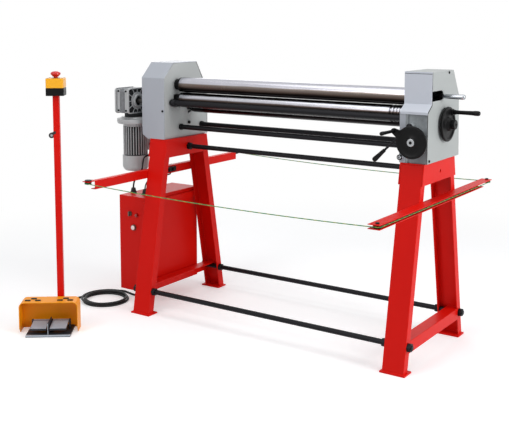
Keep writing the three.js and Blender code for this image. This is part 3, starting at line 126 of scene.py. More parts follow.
def new_tree(name, kind, inputs, outputs):
    """An empty node tree, the sockets that it is given, and its output node."""
    tree = bpy.data.node_groups.new(name, kind)
    for sockets, in_out in ((inputs, "INPUT"), (outputs, "OUTPUT")):
        for label, letter in sockets.items():
            tree.interface.new_socket(label, in_out=in_out,
                                      socket_type="NodeSocket" + SOCKETS[letter])
    return tree, tree.nodes.new("NodeGroupInput").outputs, tree.nodes.new("NodeGroupOutput")


def calc(tree, operation, first, second=0.5, clamp=False):
    return place(tree, "ShaderNodeMath", {0: first, 1: second}, operation=operation,
                 use_clamp=clamp).outputs[0]


def noise(tree, vector, scale, detail, roughness=0.5):
    return place(tree, "ShaderNodeTexNoise", {"Vector": vector, "Scale": scale, "Detail": detail,
                                              "Roughness": roughness}).outputs["Fac"]


def mapped(tree, value, low, high, to_low=0, to_high=1, **settings):
    """A value that runs from low to high, stretched to run between two others."""
    return place(tree, "ShaderNodeMapRange",
                 {"Value": value, "From Min": low, "From Max": high, "To Min": to_low,
                  "To Max": to_high}, **settings).outputs["Result"]


def mixed(tree, factor, first, second):
    """Two colours mixed. The mixing node numbers its colour sockets 6 and 7."""
    return place(tree, "ShaderNodeMix", {"Factor": factor, 6: first, 7: second},
                 data_type="RGBA").outputs[2]


def near_one(tree, value, amount):
    """Turns a noise into a factor near one."""
    centred = calc(tree, "SUBTRACT", value, 0.5)
    return calc(tree, "ADD", calc(tree, "MULTIPLY", centred, amount), 1)


def skin(name, pattern, **extra):
    """A shader group whose pattern gives it noises for its shade, its gloss and its relief."""
    tree, given, result = new_tree(
        name, "ShaderNodeTree",
        {"Vector": "v", "Color": "c", "Spread": "f", "Roughness": "f", "Gloss Spread": "f",
         **extra},
        {"Color": "c", "Roughness": "f", "Height": "f"})
    shade, smears, height = pattern(tree, given)
    tint = place(tree, "ShaderNodeVectorMath",
                 {0: given["Color"], "Scale": near_one(tree, shade, given["Spread"])},
                 operation="SCALE")
    gloss = near_one(tree, smears, given["Gloss Spread"])
    feed(tree, result, {"Color": tint.outputs[0], "Height": height,
                        "Roughness": calc(tree, "MULTIPLY", given["Roughness"], gloss)})
    return tree


def coat_pattern(tree, given):
    """Faint clouds, uneven gloss and a fine grain, as paint, plastic and rubber have."""
    spot = given["Vector"]
    return (noise(tree, spot, given["Clouds"], 5, 0.6), noise(tree, spot, 38, 6, 0.7),
            noise(tree, spot, given["Grain"], 2))


coat_skin = skin("coat_skin", coat_pattern, Clouds="f", Grain="f")

# Edges painted a little paler: partly rubbed by handling and packing, partly a painted highlight
# along them.
PALE_EDGE_WIDTH = 0.0015
edge_rub, given, result = new_tree("edge_rub", "ShaderNodeTree",
                                   {"Color": "c", "Rub Color": "c", "Amount": "f"}, {"Color": "c"})
rounded = place(edge_rub, "ShaderNodeBevel", {"Radius": PALE_EDGE_WIDTH}, samples=4)
plain = place(edge_rub, "ShaderNodeNewGeometry")
facing = place(edge_rub, "ShaderNodeVectorMath",
               {0: rounded.outputs["Normal"], 1: plain.outputs["Normal"]},
               operation="DOT_PRODUCT")
patches = noise(edge_rub, place(edge_rub, "ShaderNodeTexCoord").outputs["Object"], 60, 4)
pale_edges = calc(edge_rub, "MULTIPLY", mapped(edge_rub, facing.outputs["Value"], 0.995, 0.9), patches)
mask = calc(edge_rub, "MULTIPLY", pale_edges, given["Amount"], clamp=True)
feed(edge_rub, result, {"Color": mixed(edge_rub, mask, given["Color"], given["Rub Color"])})


def linear(hex_code):
    """A colour written as six hex digits, as the linear colour a shader takes."""
    parts = [int(hex_code[i:i + 2], 16) / 255 for i in (0, 2, 4)]
    return [*(p / 12.92 if p <= 0.04045 else ((p + 0.055) / 1.055) ** 2.4 for p in parts), 1]


def finish(name, slot, metallic=0.0, coat=0.0):
    """A new material with its shader, and the place that its patterns are laid out in."""
    made = bpy.data.materials.new(name)
    made.use_nodes = True
    made["slot"] = slot
    tree = made.node_tree
    shader = feed(tree, tree.nodes["Principled BSDF"],
                  {"Metallic": metallic, "Coat Weight": coat, "Coat Roughness": 0.08})
    return made, tree, shader, place(tree, "ShaderNodeTexCoord").outputs["Object"]


def raise_surface(tree, shader, height, depth):
    bump = place(tree, "ShaderNodeBump", {"Height": height, "Distance": depth, "Strength": 1})
    feed(tree, shader, {"Normal": bump.outputs["Normal"]})


def clothe(tree, shader, group, depth, inputs, wear_and_highlight=None, wear_and_highlight_amount=0.8):
    """A group gives a shader its colour, gloss and relief, and an edge colour paler edges, partly
    wear and partly painted highlight.
    """
    look = place(tree, "ShaderNodeGroup", inputs, node_tree=group).outputs
    color = look["Color"]
    if wear_and_highlight:
        color = place(tree, "ShaderNodeGroup",
                      {"Color": color, "Rub Color": linear(wear_and_highlight), "Amount": wear_and_highlight_amount},
                      node_tree=edge_rub).outputs["Color"]
    feed(tree, shader, {"Base Color": color, "Roughness": look["Roughness"]})
    raise_surface(tree, shader, look["Height"], depth)


def coated(name, slot, color, roughness, grain_scale=900, grain_depth=0.00002, cloud_scale=5,
           cloud=0.12, gloss_spread=0.4, coat=0.0, metallic=0.0, wear_and_highlight=None, wear_and_highlight_amount=0.8,
           shine=0.5):
    """Paint, plastic or rubber, with paler edges, partly rubbed and partly painted highlight, where
    an edge colour is given.
    """
    made, tree, shader, spot = finish(name, slot, metallic, coat)
    shader.inputs["Specular IOR Level"].default_value = shine
    clothe(tree, shader, coat_skin, grain_depth,
           {"Vector": spot, "Color": linear(color), "Spread": cloud, "Roughness": roughness,
            "Gloss Spread": gloss_spread, "Clouds": cloud_scale, "Grain": grain_scale},
           wear_and_highlight, wear_and_highlight_amount)
    return made


cable_rubber = coated("cable_rubber", "cable_rubber", "131416", 0.5, grain_scale=1400,
                      cloud_scale=12, cloud=0.5, gloss_spread=0.5, shine=0.3)


def smooth_route(points, steps):
    """A smooth curve through the points, with more of it where they lie far apart."""
    ends = [2 * points[0] - points[1], *points, 2 * points[-1] - points[-2]]
    line = []
    for a, b, c, d in zip(ends, ends[1:], ends[2:], ends[3:]):
        t1 = math.sqrt((b - a).length)
        t2 = t1 + math.sqrt((c - b).length)
        t3 = t2 + math.sqrt((d - c).length)
        for k in range(steps):
            t = t1 + (t2 - t1) * k / steps
            ab = a.lerp(b, t / t1)
            bc = b.lerp(c, (t - t1) / (t2 - t1))
            cd = c.lerp(d, (t - t2) / (t3 - t2))
            abc = ab.lerp(bc, t / t2)
            bcd = bc.lerp(cd, (t - t1) / (t3 - t1))
            line.append(abc.lerp(bcd, (t - t1) / (t2 - t1)))
    return [*line, points[-1]]


def lay_cable(name, line, diameter, stands_for):
    """A free cable along a line: a round curve that rides with the machine."""
    curve = bpy.data.curves.new(name, "CURVE")
    curve.dimensions = "3D"
    curve.bevel_depth = diameter / 2
    curve.bevel_resolution = 5
    curve.use_fill_caps = True
    spline = curve.splines.new("POLY")
    spline.points.add(len(line) - 1)
    for point, spot in zip(spline.points, line):
        point.co = (*spot, 1)
    curve.materials.append(cable_rubber)
    made = bpy.data.objects.new(name, curve)
    scene.collection.objects.link(made)
    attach(made, "root")
    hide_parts(*stands_for)
    return made


PEDAL_CABLE = 12
COIL_MIDDLE = (-1008.5, -254)
COIL_RADIUS = 126.5
COIL_PITCH = 17
COIL_START = 180
COIL_END = 100
COIL_LAYER = PEDAL_CABLE + 0.6
CLIMB_TURNS = 0.5
LOOP_STEPS = 24
coil_turns = 3 + (COIL_START - COIL_END) / 360
spiral_turns = (coil_turns - CLIMB_TURNS) / 2


def coil_point(turn):
    """In on the floor, up a layer in half a turn, and out again on top."""
    outwards = max(turn - spiral_turns - CLIMB_TURNS, 0)
    inwards = min(turn, spiral_turns)
    climb = min(max((turn - spiral_turns) / CLIMB_TURNS, 0), 1)
    radius = COIL_RADIUS - COIL_PITCH * (inwards - outwards)
    angle = math.radians(COIL_START - 360 * turn)
    return at(COIL_MIDDLE[0] + radius * math.cos(angle), COIL_MIDDLE[1] + radius * math.sin(angle),
              PEDAL_CABLE / 2 + COIL_LAYER * climb)


def straight_on(last, before, distance):
    """A point straight on from an end of the coil, at its height."""
    way = (last - before) * Vector((1, 1, 0))
    return last + way.normalized() * distance / 1000


coil_steps = round(coil_turns * LOOP_STEPS)
coil = [coil_point(coil_turns * k / coil_steps) for k in range(coil_steps + 1)]
lead_in = [at_station(90, 107.3, 20), at_station(90, 131.3, 20), at_station(91, 167.3, 12),
           *(at(*p) for p in [(-1058, -614, 6), (-1096, -545, 6), (-1126, -475, 6),
                              (-1143, -400, 6)]),
           *(straight_on(coil[0], coil[1], PEDAL_CABLE + d) for d in (60, 28, 0.3))]
lead_out = [*(straight_on(coil[-1], coil[-2], PEDAL_CABLE + d) for d in (0.3, 22)),
            *(at(*p) for p in [(-963, -117, 14), (-935, -111, 8), (-908, -98, 6), (-886, -78, 8),
                               (-868, -56, 17), (-855, -38, 33), (-850, -30, 51.4),
                               (-850, -30, 61.4)])]
lay_cable("pedal_lead", smooth_route([*lead_in, *coil, *lead_out], 4), PEDAL_CABLE / 1000,
          ["pedal_cable", "cable_coil", "cabinet_cable"])


# Motor cable and switch cable
# Two thinner cables from the glands on top of the cabinet: one up in an arch to the motor's
# terminal box, one to the switch of the safety rope on the left arm.
for name, cable, diameter, route in (
        ("motor_lead", "motor_cable", 0.009,
         [(-916.5, -121, 589.3), (-916.5, -121, 603.3), (-908, -123, 632), (-886, -128, 656),
          (-858, -134, 680), (-838, -138, 712), (-831, -140, 745), (-825, -133, 770),
          (-816, -112, 778), (-810, -84, 770), (-810, -54, 768), (-818, -26, 782),
          (-838, -9, 806), (-862.2, -6, 820), (-884.2, -6, 820)]),
        ("switch_lead", "switch_cable", 0.007,
         [(-835.5, -121, 589.3), (-835.5, -121, 601.3), (-834, -116, 622), (-828, -98, 645),
          (-818, -70, 658), (-806, -36, 662), (-796, -8, 662), (-790, 12, 661),
          (-782, 20, 664), (-777, 20, 671)])):
    lay_cable(name, smooth_route([at(*p) for p in route], 8), diameter, [cable])


# Lamps, floor and backdrop
# A wide soft lamp overhead, a strong one on the right, and one each in front and behind. The floor
# fades into the white of the backdrop and keeps the machine's shadow.
def softbox(name, spot, target, width, height, watts):
    lamp = bpy.data.lights.new(name, "AREA")
    lamp.shape = "RECTANGLE"
    lamp.size = width
    lamp.size_y = height
    lamp.energy = watts
    holder = bpy.data.objects.new(name, lamp)
    holder.location = spot
    holder.rotation_euler = (Vector(target) - Vector(spot)).to_track_quat("-Z", "Y").to_euler()
    scene.collection.objects.link(holder)


softbox("lamp_overhead", (0.3, -0.6, 3.6), (0, 0, 0.8), 4.0, 2.2, 46)
softbox("lamp_right", (4.6, 0.2, 2.0), (0.2, 0, 0.7), 2.2, 2.2, 112)
softbox("lamp_front", (-1.0, -4.4, 3.2), (0, 0, 0.8), 2.4, 1.8, 56)
softbox("lamp_back", (-3.2, 3.8, 2.6), (0, 0, 0.7), 2.4, 1.8, 25)

world = bpy.data.worlds.new("studio")
world.use_nodes = True
scene.world = world
sky = world.node_tree
sky.nodes.clear()
WHITE = (1, 1, 1, 1)


def seen_directly(tree):
    """One where a camera, mirror or glass ray arrives, and nought for light on a dull surface."""
    path = place(tree, "ShaderNodeLightPath").outputs
    seen = calc(tree, "ADD", path["Is Camera Ray"], path["Is Glossy Ray"])
    return calc(tree, "ADD", seen, path["Is Transmission Ray"], clamp=True)


def either_of(tree, factor, first, second):
    return place(tree, "ShaderNodeMixShader",
                 {0: factor, 1: first.outputs[0], 2: second.outputs[0]})


dull_sky = place(sky, "ShaderNodeBackground", {"Color": (0.93, 0.96, 1, 1), "Strength": 0.36})
white_sky = place(sky, "ShaderNodeBackground", {"Color": WHITE, "Strength": 1})
shown = either_of(sky, seen_directly(sky), dull_sky, white_sky)
place(sky, "ShaderNodeOutputWorld", {"Surface": shown.outputs[0]})

FLOOR_REACH = 40
FADE_START = 1.6
FADE_END = 3.4
floor_mesh = bpy.data.meshes.new("floor")
floor_mesh.from_pydata([(x * FLOOR_REACH, y * FLOOR_REACH, 0)
                        for x, y in ((-1, -1), (1, -1), (1, 1), (-1, 1))], [], [(0, 1, 2, 3)])
floor = bpy.data.objects.new("floor", floor_mesh)
scene.collection.objects.link(floor)
floor_paint = bpy.data.materials.new("pale_floor")
floor_paint.use_nodes = True
ground = floor_paint.node_tree
matt = feed(ground, ground.nodes["Principled BSDF"],
            {"Roughness": 0.8, "Base Color": (0.86, 0.86, 0.86, 1)})
distance = place(ground, "ShaderNodeVectorMath",
                 {0: place(ground, "ShaderNodeTexCoord").outputs["Object"]}, operation="LENGTH")
fade = mapped(ground, distance.outputs["Value"], FADE_START, FADE_END,
              interpolation_type="SMOOTHSTEP")
lift = place(ground, "ShaderNodeEmission", {"Color": WHITE, "Strength": 0.33})
lifted = place(ground, "ShaderNodeAddShader", {0: matt.outputs[0], 1: lift.outputs[0]})
white = place(ground, "ShaderNodeEmission", {"Color": WHITE, "Strength": 1})
shown = either_of(ground, seen_directly(ground), matt, either_of(ground, fade, lifted, white))
feed(ground, ground.nodes["Material Output"], {"Surface": shown.outputs[0]})
floor_mesh.materials.append(floor_paint)


# Stands
# Two A-frames of pressed steel channel with saddle plates, foot plates and a low cross angle,
# welded up and powder coated red. Their edges are rounded as bent and ground plate is.
red_paint = coated("red_paint", "red_paint", "d81208", 0.4, grain_scale=520,
                   grain_depth=0.00003, cloud_scale=3.5, cloud=0.08, wear_and_highlight="e8442f",
                   wear_and_highlight_amount=0.9, shine=0.13)


def soften_edges(made, width, segments=2, angle=30, clamp=True):
    edges = made.modifiers.new("rounded_edges", "BEVEL")
    edges.width = width
    edges.segments = segments
    edges.limit_method = "ANGLE"
    edges.angle_limit = math.radians(angle)
    edges.use_clamp_overlap = clamp


def piece(name, shape, finishes, stands_for=(), bevel=0.0, angle=30, segments=2, clamp=True):
    """An object of a shape that rides with the CAD piece it stands for, or else with the frame."""
    mesh = bpy.data.meshes.new(name)
    shape.to_mesh(mesh)
    shape.free()
    for each in finishes:
        mesh.materials.append(each)
    mesh.shade_smooth()
    made = bpy.data.objects.new(name, mesh)
    scene.collection.objects.link(made)
    if bevel:
        soften_edges(made, bevel, segments, angle, clamp)
        made.modifiers.new("flat_faces", "WEIGHTED_NORMAL").weight = 100
    else:
        mesh.set_sharp_from_angle(angle=math.radians(angle))
    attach(made, nodes[stands_for[0]]["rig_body"] if stands_for else "root")
    if stands_for:
        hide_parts(*stands_for)


def cad_copy(node):
    """A CAD node's shape with its loose triangles merged and its flat faces joined."""
    shape = bmesh.new()
    shape.from_mesh(nodes[node].data)
    bmesh.ops.remove_doubles(shape, verts=shape.verts, dist=0.00001)
    bmesh.ops.dissolve_limit(shape, angle_limit=math.radians(0.5), verts=shape.verts,
                             edges=shape.edges)
    bmesh.ops.connect_verts_concave(shape, faces=shape.faces)
    return shape


def cut(shape, spot, way):
    """Cuts every face that a plane crosses, and keeps both sides."""
    bmesh.ops.bisect_plane(shape, geom=[*shape.verts, *shape.edges, *shape.faces], dist=0.00001,
                           plane_co=spot, plane_no=way)


def softened(node, finishes, bevel=0.001, angle=20, segments=2, clamp=True):
    """A CAD node again, with its sharp edges rounded."""
    piece(node + "_finished", cad_copy(node), finishes, [node], bevel=bevel, angle=angle,
          segments=segments, clamp=clamp)


for side in ("left", "right"):
    softened(f"{side}_stand_head", [red_paint], bevel=0.0025)
    for leg in ("front_leg", "rear_leg"):
        softened(f"{side}_{leg}", [red_paint], bevel=0.0015, clamp=False)


# Tie rods
# Three black bars with threaded ends and locking nuts hold the stands apart.
FRONT = (0, -1, 0)
REAR = (0, 1, 0)
LEFT = (-1, 0, 0)
RIGHT = (1, 0, 0)
UP = (0, 0, 1)
DOWN = (0, 0, -1)


def past(start, *pairs, way=1):
    """Points of a profile, given in millimetres past a start in metres, as (along, radius)."""
    return [[start + way * along / 1000, radius / 1000] for along, radius in pairs]


def skirt(shape, near, far):
    """Faces between two rings of as many points."""
    return [shape.faces.new(corners) for corners in zip(near, [*near[1:], near[0]],
                                                        [*far[1:], far[0]], far)]


def turned(shape, profile, axis, centre, sides=64, finish_index=0, ring=False):
    """Adds a turned shape of [along, radius] pairs in metres. A ring's profile closes on itself."""
    named = {"x": RIGHT, "y": REAR, "z": UP}
    way = Vector(named[axis] if isinstance(axis, str) else axis).normalized()
    start = Vector(centre)
    if isinstance(axis, str):
        start -= way * start.dot(way)
    side = way.orthogonal().normalized()
    over = way.cross(side)
    angles = [2 * math.pi * k / sides for k in range(sides)]
    rings = [[shape.verts.new(start + way * along + side * radius * math.cos(t)
                              + over * radius * math.sin(t)) for t in angles]
             for along, radius in profile]
    pairs = list(zip(rings, rings[1:]))
    if ring:
        pairs.append((rings[-1], rings[0]))
    made = [face for near, far in pairs for face in skirt(shape, near, far)]
    if not ring:
        made += [shape.faces.new(reversed(rings[0])), shape.faces.new(rings[-1])]
    for face in made:
        face.material_index = finish_index
    bmesh.ops.recalc_face_normals(shape, faces=made)


def block(shape, low, high, finish_index=0):
    """Adds a box between two corners."""
    spots = [shape.verts.new((x, y, z)) for x in (low[0], high[0]) for y in (low[1], high[1])
             for z in (low[2], high[2])]
    faces = [(0, 1, 3, 2), (4, 6, 7, 5), (0, 4, 5, 1), (2, 3, 7, 6), (0, 2, 6, 4), (1, 5, 7, 3)]
    made = [shape.faces.new([spots[k] for k in face]) for face in faces]
    for face in made:
        face.material_index = finish_index


def slab(shape, outline, way, near, far, finish_index=0):
    """Adds a flat plate: an outline of points moved to near and to far along a way."""
    ends = [[shape.verts.new(Vector(spot) + Vector(way) * along) for spot in outline]
            for along in (near, far)]
    made = [shape.faces.new(ends[0]), shape.faces.new(reversed(ends[1])), *skirt(shape, *ends)]
    for face in made:
        face.material_index = finish_index
    bmesh.ops.recalc_face_normals(shape, faces=made)


def turned_pattern(tree, given):
    """Fine rings and slow stains, as the lathe and the years leave them."""
    fine = noise(tree, given["Vector"], 1, 6, 0.75)
    stains = noise(tree, place(tree, "ShaderNodeTexCoord").outputs["Object"], 9, 5)
    mean = calc(tree, "MULTIPLY", calc(tree, "ADD", fine, stains), 0.5)
    return mean, mean, fine


turned_marks = skin("turned_marks", turned_pattern)
MARKS = {"x": (900, 14, 14), "y": (14, 900, 14), "z": (14, 14, 900)}


def machined(name, slot, color, roughness, axis, band=0.35, gloss_spread=0.6, depth=0.000006,
             metallic=1.0):
    """Metal with the fine rings that turning or grinding round an axis leaves."""
    made, tree, shader, spot = finish(name, slot, metallic)
    laid = place(tree, "ShaderNodeMapping", {"Vector": spot, "Scale": MARKS[axis]})
    clothe(tree, shader, turned_marks, depth,
           {"Vector": laid.outputs["Vector"], "Color": linear(color), "Spread": band,
            "Roughness": roughness, "Gloss Spread": gloss_spread})
    return made


black_bar = machined("black_bar", "black_steel", "1b1b1e", 0.45, "x", metallic=0.8)


NUT_ACROSS = 0.034
NUT_THICK = 0.017
THREAD_PITCH = 0.002
THREAD_TURNS = 25
THREAD_LENGTH = 0.052
ROD_RADIUS = 0.012
PLATE_GAP = 0.0003
LEG_FACES = (0.65, 0.75)
HEAD_PLATE_FACES = (0.6437, 0.6497)


def nut(shape, near, far, centre):
    """A hexagon nut with both ends chamfered."""
    low, high = sorted((near, far))
    corner = NUT_ACROSS / 2 / math.cos(math.pi / 6)
    ease = (corner - NUT_ACROSS / 2) * 0.6
    turned(shape, [[low, corner - ease], [low + ease * 0.6, corner],
                   [high - ease * 0.6, corner], [high, corner - ease]], "x", centre, 6)


def tie_rod(node, inner_face, outer_face):
    """A bar with a thread at each end and nuts on both sides of the plates it passes."""
    low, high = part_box(node)
    centre = (low + high) / 2
    shape = bmesh.new()
    right = []
    for k in range(THREAD_TURNS):
        along = high.x - THREAD_LENGTH + k * THREAD_PITCH
        right += [[along, ROD_RADIUS * 0.9], [along + THREAD_PITCH / 2, ROD_RADIUS]]
    left = [[low.x + high.x - along, radius] for along, radius in reversed(right)]
    turned(shape, [[low.x, ROD_RADIUS * 0.8], *left, [low.x + THREAD_LENGTH + 0.002, ROD_RADIUS],
                   [high.x - THREAD_LENGTH - 0.002, ROD_RADIUS], *right,
                   [high.x, ROD_RADIUS * 0.8]], "x", centre, 32)
    for way in (-1, 1):
        for face, out in ((inner_face, -1), (outer_face, 1)):
            seat = centre.x + way * (face + out * PLATE_GAP)
            nut(shape, seat, seat + way * out * NUT_THICK, centre)
    piece(node + "_turned", shape, [black_bar], [node], angle=25)


tie_rod("front_tie_rod", *LEG_FACES)
tie_rod("rear_tie_rod", *LEG_FACES)
tie_rod("upper_tie_rod", *HEAD_PLATE_FACES)


# Rolls
# Three ground steel rolls, 76 mm thick and 1.27 m long, with stepped journals. The lower one
# has five round grooves for wire at its right end. Their tones are painted reflection and shade:
# dark on the underside, pale bands towards the top.
journal_steel = machined("journal_steel", "black_steel", "121214", 0.42, "x", metallic=0.8)
ROLL_RADIUS = 0.038
JOURNAL_RADIUS = 0.020
SHOULDER_RADIUS = 0.0275
COLLAR = 0.025
ROLL_GAP = 0.002
ROLL_EASE = 0.0015
GROOVES = [0.012, 0.010, 0.008, 0.007, 0.006]
GROOVE_LAND = 0.006
GROOVE_MARGIN = 0.010
BLACK_END = 0.012
left_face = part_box("left_side_frame")[1].x
right_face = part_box("right_side_frame")[0].x
left_seat = left_face + PLATE_GAP
right_seat = right_face - PLATE_GAP


def steel_with_painted_reflection(name, axis_height, painted_reflection_tones):
    """Ground steel about a level axis, with painted reflection and shade given as tones from the
    underside to the top.
    """
    made, tree, shader, spot = finish(name, "roll_steel", 1.0)
    laid = place(tree, "ShaderNodeMapping", {"Vector": spot, "Scale": MARKS["x"]})
    drawn = place(tree, "ShaderNodeMapping", {"Vector": spot, "Scale": (1.5, 30, 30)})
    smears = noise(tree, drawn.outputs["Vector"], 3, 5)
    height = place(tree, "ShaderNodeSeparateXYZ", {"Vector": spot}).outputs["Z"]
    edge = calc(tree, "ADD", height, mapped(tree, smears, 0, 1, -0.004, 0.004))
    level = mapped(tree, edge, axis_height - ROLL_RADIUS, axis_height + ROLL_RADIUS)
    ramp = place(tree, "ShaderNodeValToRGB", {"Fac": level})
    stops = ramp.color_ramp.elements
    for k, (position, tone) in enumerate(painted_reflection_tones):
        stop = stops[k] if k < 2 else stops.new(position)
        stop.position = position
        stop.color = linear(tone)
    clothe(tree, shader, turned_marks, 0.000006,
           {"Vector": laid.outputs["Vector"], "Color": ramp.outputs["Color"], "Spread": 0.3,
            "Roughness": 0.25, "Gloss Spread": 0.8})
    return made


def half_round(start, width, steps=10):
    """A groove of half-round section, as [along, radius]."""
    angles = [math.pi * k / steps for k in range(steps + 1)]
    return [[start + width / 2 * (1 - math.cos(angle)), ROLL_RADIUS - width / 2 * math.sin(angle)]
            for angle in angles]


def steel_roll(node, *painted_reflection_tones, grooves=()):
    low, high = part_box(node)
    centre = (low + high) / 2
    start = left_face + COLLAR
    stop = right_face - ROLL_GAP
    body = [[start + BLACK_END, ROLL_RADIUS - ROLL_EASE],
            [start + BLACK_END + ROLL_EASE, ROLL_RADIUS]]
    spot = stop - GROOVE_MARGIN - sum(width + GROOVE_LAND for width in grooves)
    for width in grooves:
        body += half_round(spot, width)
        spot += width + GROOVE_LAND
    body += [[stop - ROLL_EASE, ROLL_RADIUS], [stop, ROLL_RADIUS - ROLL_EASE]]
    shape = bmesh.new()
    turned(shape, body, "x", centre, 128)
    for profile in (
            [[start, ROLL_RADIUS - 0.005], [start + 0.003, ROLL_RADIUS - 0.0015],
             [start + BLACK_END + 0.001, ROLL_RADIUS - 0.0015]],
            [[low.x, JOURNAL_RADIUS - 0.003], [left_seat, JOURNAL_RADIUS - 0.003],
             [left_seat, SHOULDER_RADIUS - 0.001], [left_seat + 0.001, SHOULDER_RADIUS],
             [start + 0.001, SHOULDER_RADIUS]],
            [[stop - 0.001, SHOULDER_RADIUS], [right_seat, SHOULDER_RADIUS],
             [right_seat, JOURNAL_RADIUS], [high.x, JOURNAL_RADIUS]]):
        turned(shape, profile, "x", centre, 96, 1)
    piece(node + "_ground", shape, [steel_with_painted_reflection(node + "_steel", centre.z, painted_reflection_tones), journal_steel],
          [node], angle=25)


# Painted reflection and shade: dark undersides, pale bands above; the dark band at the top of the
# lower roll is painted shade from the roll above it.
steel_roll("top_roll", (0.0, "17120f"), (0.30, "1e1816"), (0.40, "51453f"), (0.60, "7d746f"),
           (0.66, "b5b4bc"), (0.93, "bdbdc5"), (1.0, "9ea0a8"))
steel_roll("lower_roll", (0.0, "131010"), (0.50, "1b1716"), (0.62, "4c423e"), (0.70, "b4b4bb"),
           (0.89, "bfc0c8"), (0.93, "2a2524"), (1.0, "1b1716"), grooves=GROOVES)
steel_roll("rear_roll", (0.0, "141012"), (0.62, "1c1718"), (0.80, "39302f"), (0.90, "8f8c92"),
           (1.0, "a5a4aa"))


# Gears and bearing blocks
# Cut steel gears on the rolls' left ends, the pinion on the drive shaft, and the four sliding
# blocks that carry the lower and the rear roll.
gear_steel = machined("gear_steel", "gear_steel", "6b6a68", 0.4, "x", band=0.4)
for node in ("top_roll_gear", "lower_roll_gear", "drive_pinion", "lower_left_block",
             "lower_right_block", "rear_left_block", "rear_right_block"):
    for held in nodes[node].material_slots:
        held.material = gear_steel


# Bearing frames and covers
# Thick cut plates carry the rolls. Folded sheet covers close the gear side on the left and the
# drive side on the right, where a rough casting fills the front below the fold.
def grey_coat(name, color, wear_and_highlight):
    return coated(name, "grey_paint", color, 0.4, grain_scale=600, cloud_scale=3, cloud=0.08,
                  wear_and_highlight=wear_and_highlight, shine=0.4)


grey_paint = grey_coat("grey_paint", "adb1b9", "dfe1e6")
plate_paint = grey_coat("plate_paint", "b3b6b5", "dcdedd")
pale_paint = grey_coat("pale_paint", "c6cad3", "e6e8ec")
side_paint = grey_coat("side_paint", "a1a5a4", "dcdedd")
cast_paint = coated("cast_paint", "grey_paint", "8f9497", 0.45, grain_scale=240,
                    grain_depth=0.0004, cloud_scale=20, cloud=1.5, gloss_spread=0.9, shine=0.4)
# Black for strips that stand as painted shadow in the gaps between sheets.
seam_black = coated("seam_black", "cable_rubber", "1a1b1d", 0.6, cloud=0.4, shine=0.2)
SHEET = 0.003
TOUCH = 0.0005
left_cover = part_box("left_gear_cover")
cover_shape = cad_copy("left_gear_cover")
for corner in cover_shape.verts:
    if corner.co.x > left_cover[1].x - 0.001:
        corner.co.x = left_face - 0.0015
piece("left_gear_cover_folded", cover_shape, [grey_paint], ["left_gear_cover"], bevel=0.002,
      angle=20)

# The left frame's rim is drawn in by the thickness of the cover that closes round it.
FRAME_CORNER = 0.0765
inset = SHEET + PLATE_GAP
plate_shape = cad_copy("left_side_frame")
frame_low, frame_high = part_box("left_side_frame")
for corner in plate_shape.verts:
    spot = corner.co
    from_front = spot.y - frame_low.y
    on_slope = from_front + frame_high.z - spot.z < FRAME_CORNER
    if from_front < TOUCH or on_slope:
        spot.y += inset
    if spot.y > frame_high.y - TOUCH:
        spot.y -= inset
    if spot.z > frame_high.z - TOUCH:
        spot.z -= inset
    elif spot.z < frame_low.z + TOUCH:
        spot.z += inset
piece("left_side_frame_finished", plate_shape, [plate_paint], ["left_side_frame"], bevel=0.0012,
      angle=20)
softened("right_side_cover", [side_paint], bevel=0.0015)
softened("right_front_cover", [pale_paint], bevel=0.0012)

# The right frame is painted as sheet up to the lap of its cover and rough cast beyond it.
CASTING_START = 0.0275
casting_x = right_face + CASTING_START
side_frame = cad_copy("right_side_frame")
cut(side_frame, (casting_x, 0, 0), RIGHT)
for face in side_frame.faces:
    face.material_index = int(face.calc_center_median().x > casting_x)
piece("right_side_frame_finished", side_frame, [grey_paint, cast_paint], ["right_side_frame"],
      bevel=0.0012, angle=20)


# Screws
# Black socket screws hold the sheet covers on. Each stands on its seat along its own axis.
def share_of(tree, value, share):
    return calc(tree, "MULTIPLY", value, share)


def upwards(tree, height):
    return place(tree, "ShaderNodeCombineXYZ", {"Z": height}).outputs[0]


def moved(tree, mesh, by):
    return place(tree, "GeometryNodeTransform", {"Geometry": mesh, "Translation": by}).outputs[0]


def cylinder(tree, sides, radius, depth):
    return place(tree, "GeometryNodeMeshCylinder",
                 {"Vertices": sides, "Radius": radius, "Depth": depth}).outputs["Mesh"]


def copies_tree(name, build, sockets, **turning):
    """A geometry tree that stands one thing on every seat, turned the way that the seat faces."""
    tree, given, result = new_tree(name, "GeometryNodeTree",
                                   {"Seats": "g", **sockets, "Finish": "m"}, {"Made": "g"})
    if turning:
        facing = place(tree, "GeometryNodeInputNamedAttribute", {"Name": "facing"},
                       data_type="FLOAT_VECTOR")
        turn = place(tree, "FunctionNodeAlignRotationToVector",
                     {"Vector": facing.outputs["Attribute"]}, **turning)
    else:
        turn = place(tree, "FunctionNodeEulerToRotation", {"Euler": given["Turn"]})
    copies = place(tree, "GeometryNodeInstanceOnPoints",
                   {"Points": given["Seats"], "Instance": build(tree, given),
                    "Rotation": turn.outputs[0]})
    solid = place(tree, "GeometryNodeRealizeInstances", {"Geometry": copies.outputs[0]})
    dressed = place(tree, "GeometryNodeSetMaterial",
                    {"Geometry": solid.outputs[0], "Material": given["Finish"]})
    feed(tree, result, {"Made": dressed.outputs[0]})
    return tree


def socket_screw(tree, given):
    """A round head with a hexagon sunk half through it."""
    radius, height = given["Head Radius"], given["Head Height"]
    half = upwards(tree, share_of(tree, height, 0.5))
    hexagon = cylinder(tree, 6, share_of(tree, radius, 0.55), height)
    drilled = place(tree, "GeometryNodeMeshBoolean",
                    {"Mesh 1": cylinder(tree, 28, radius, height),
                     "Mesh 2": moved(tree, hexagon, half)}, operation="DIFFERENCE")
    return moved(tree, drilled.outputs["Mesh"], half)


socket_screws = copies_tree("socket_screws", socket_screw,
                            {"Head Radius": "f", "Head Height": "f"}, axis="Z")


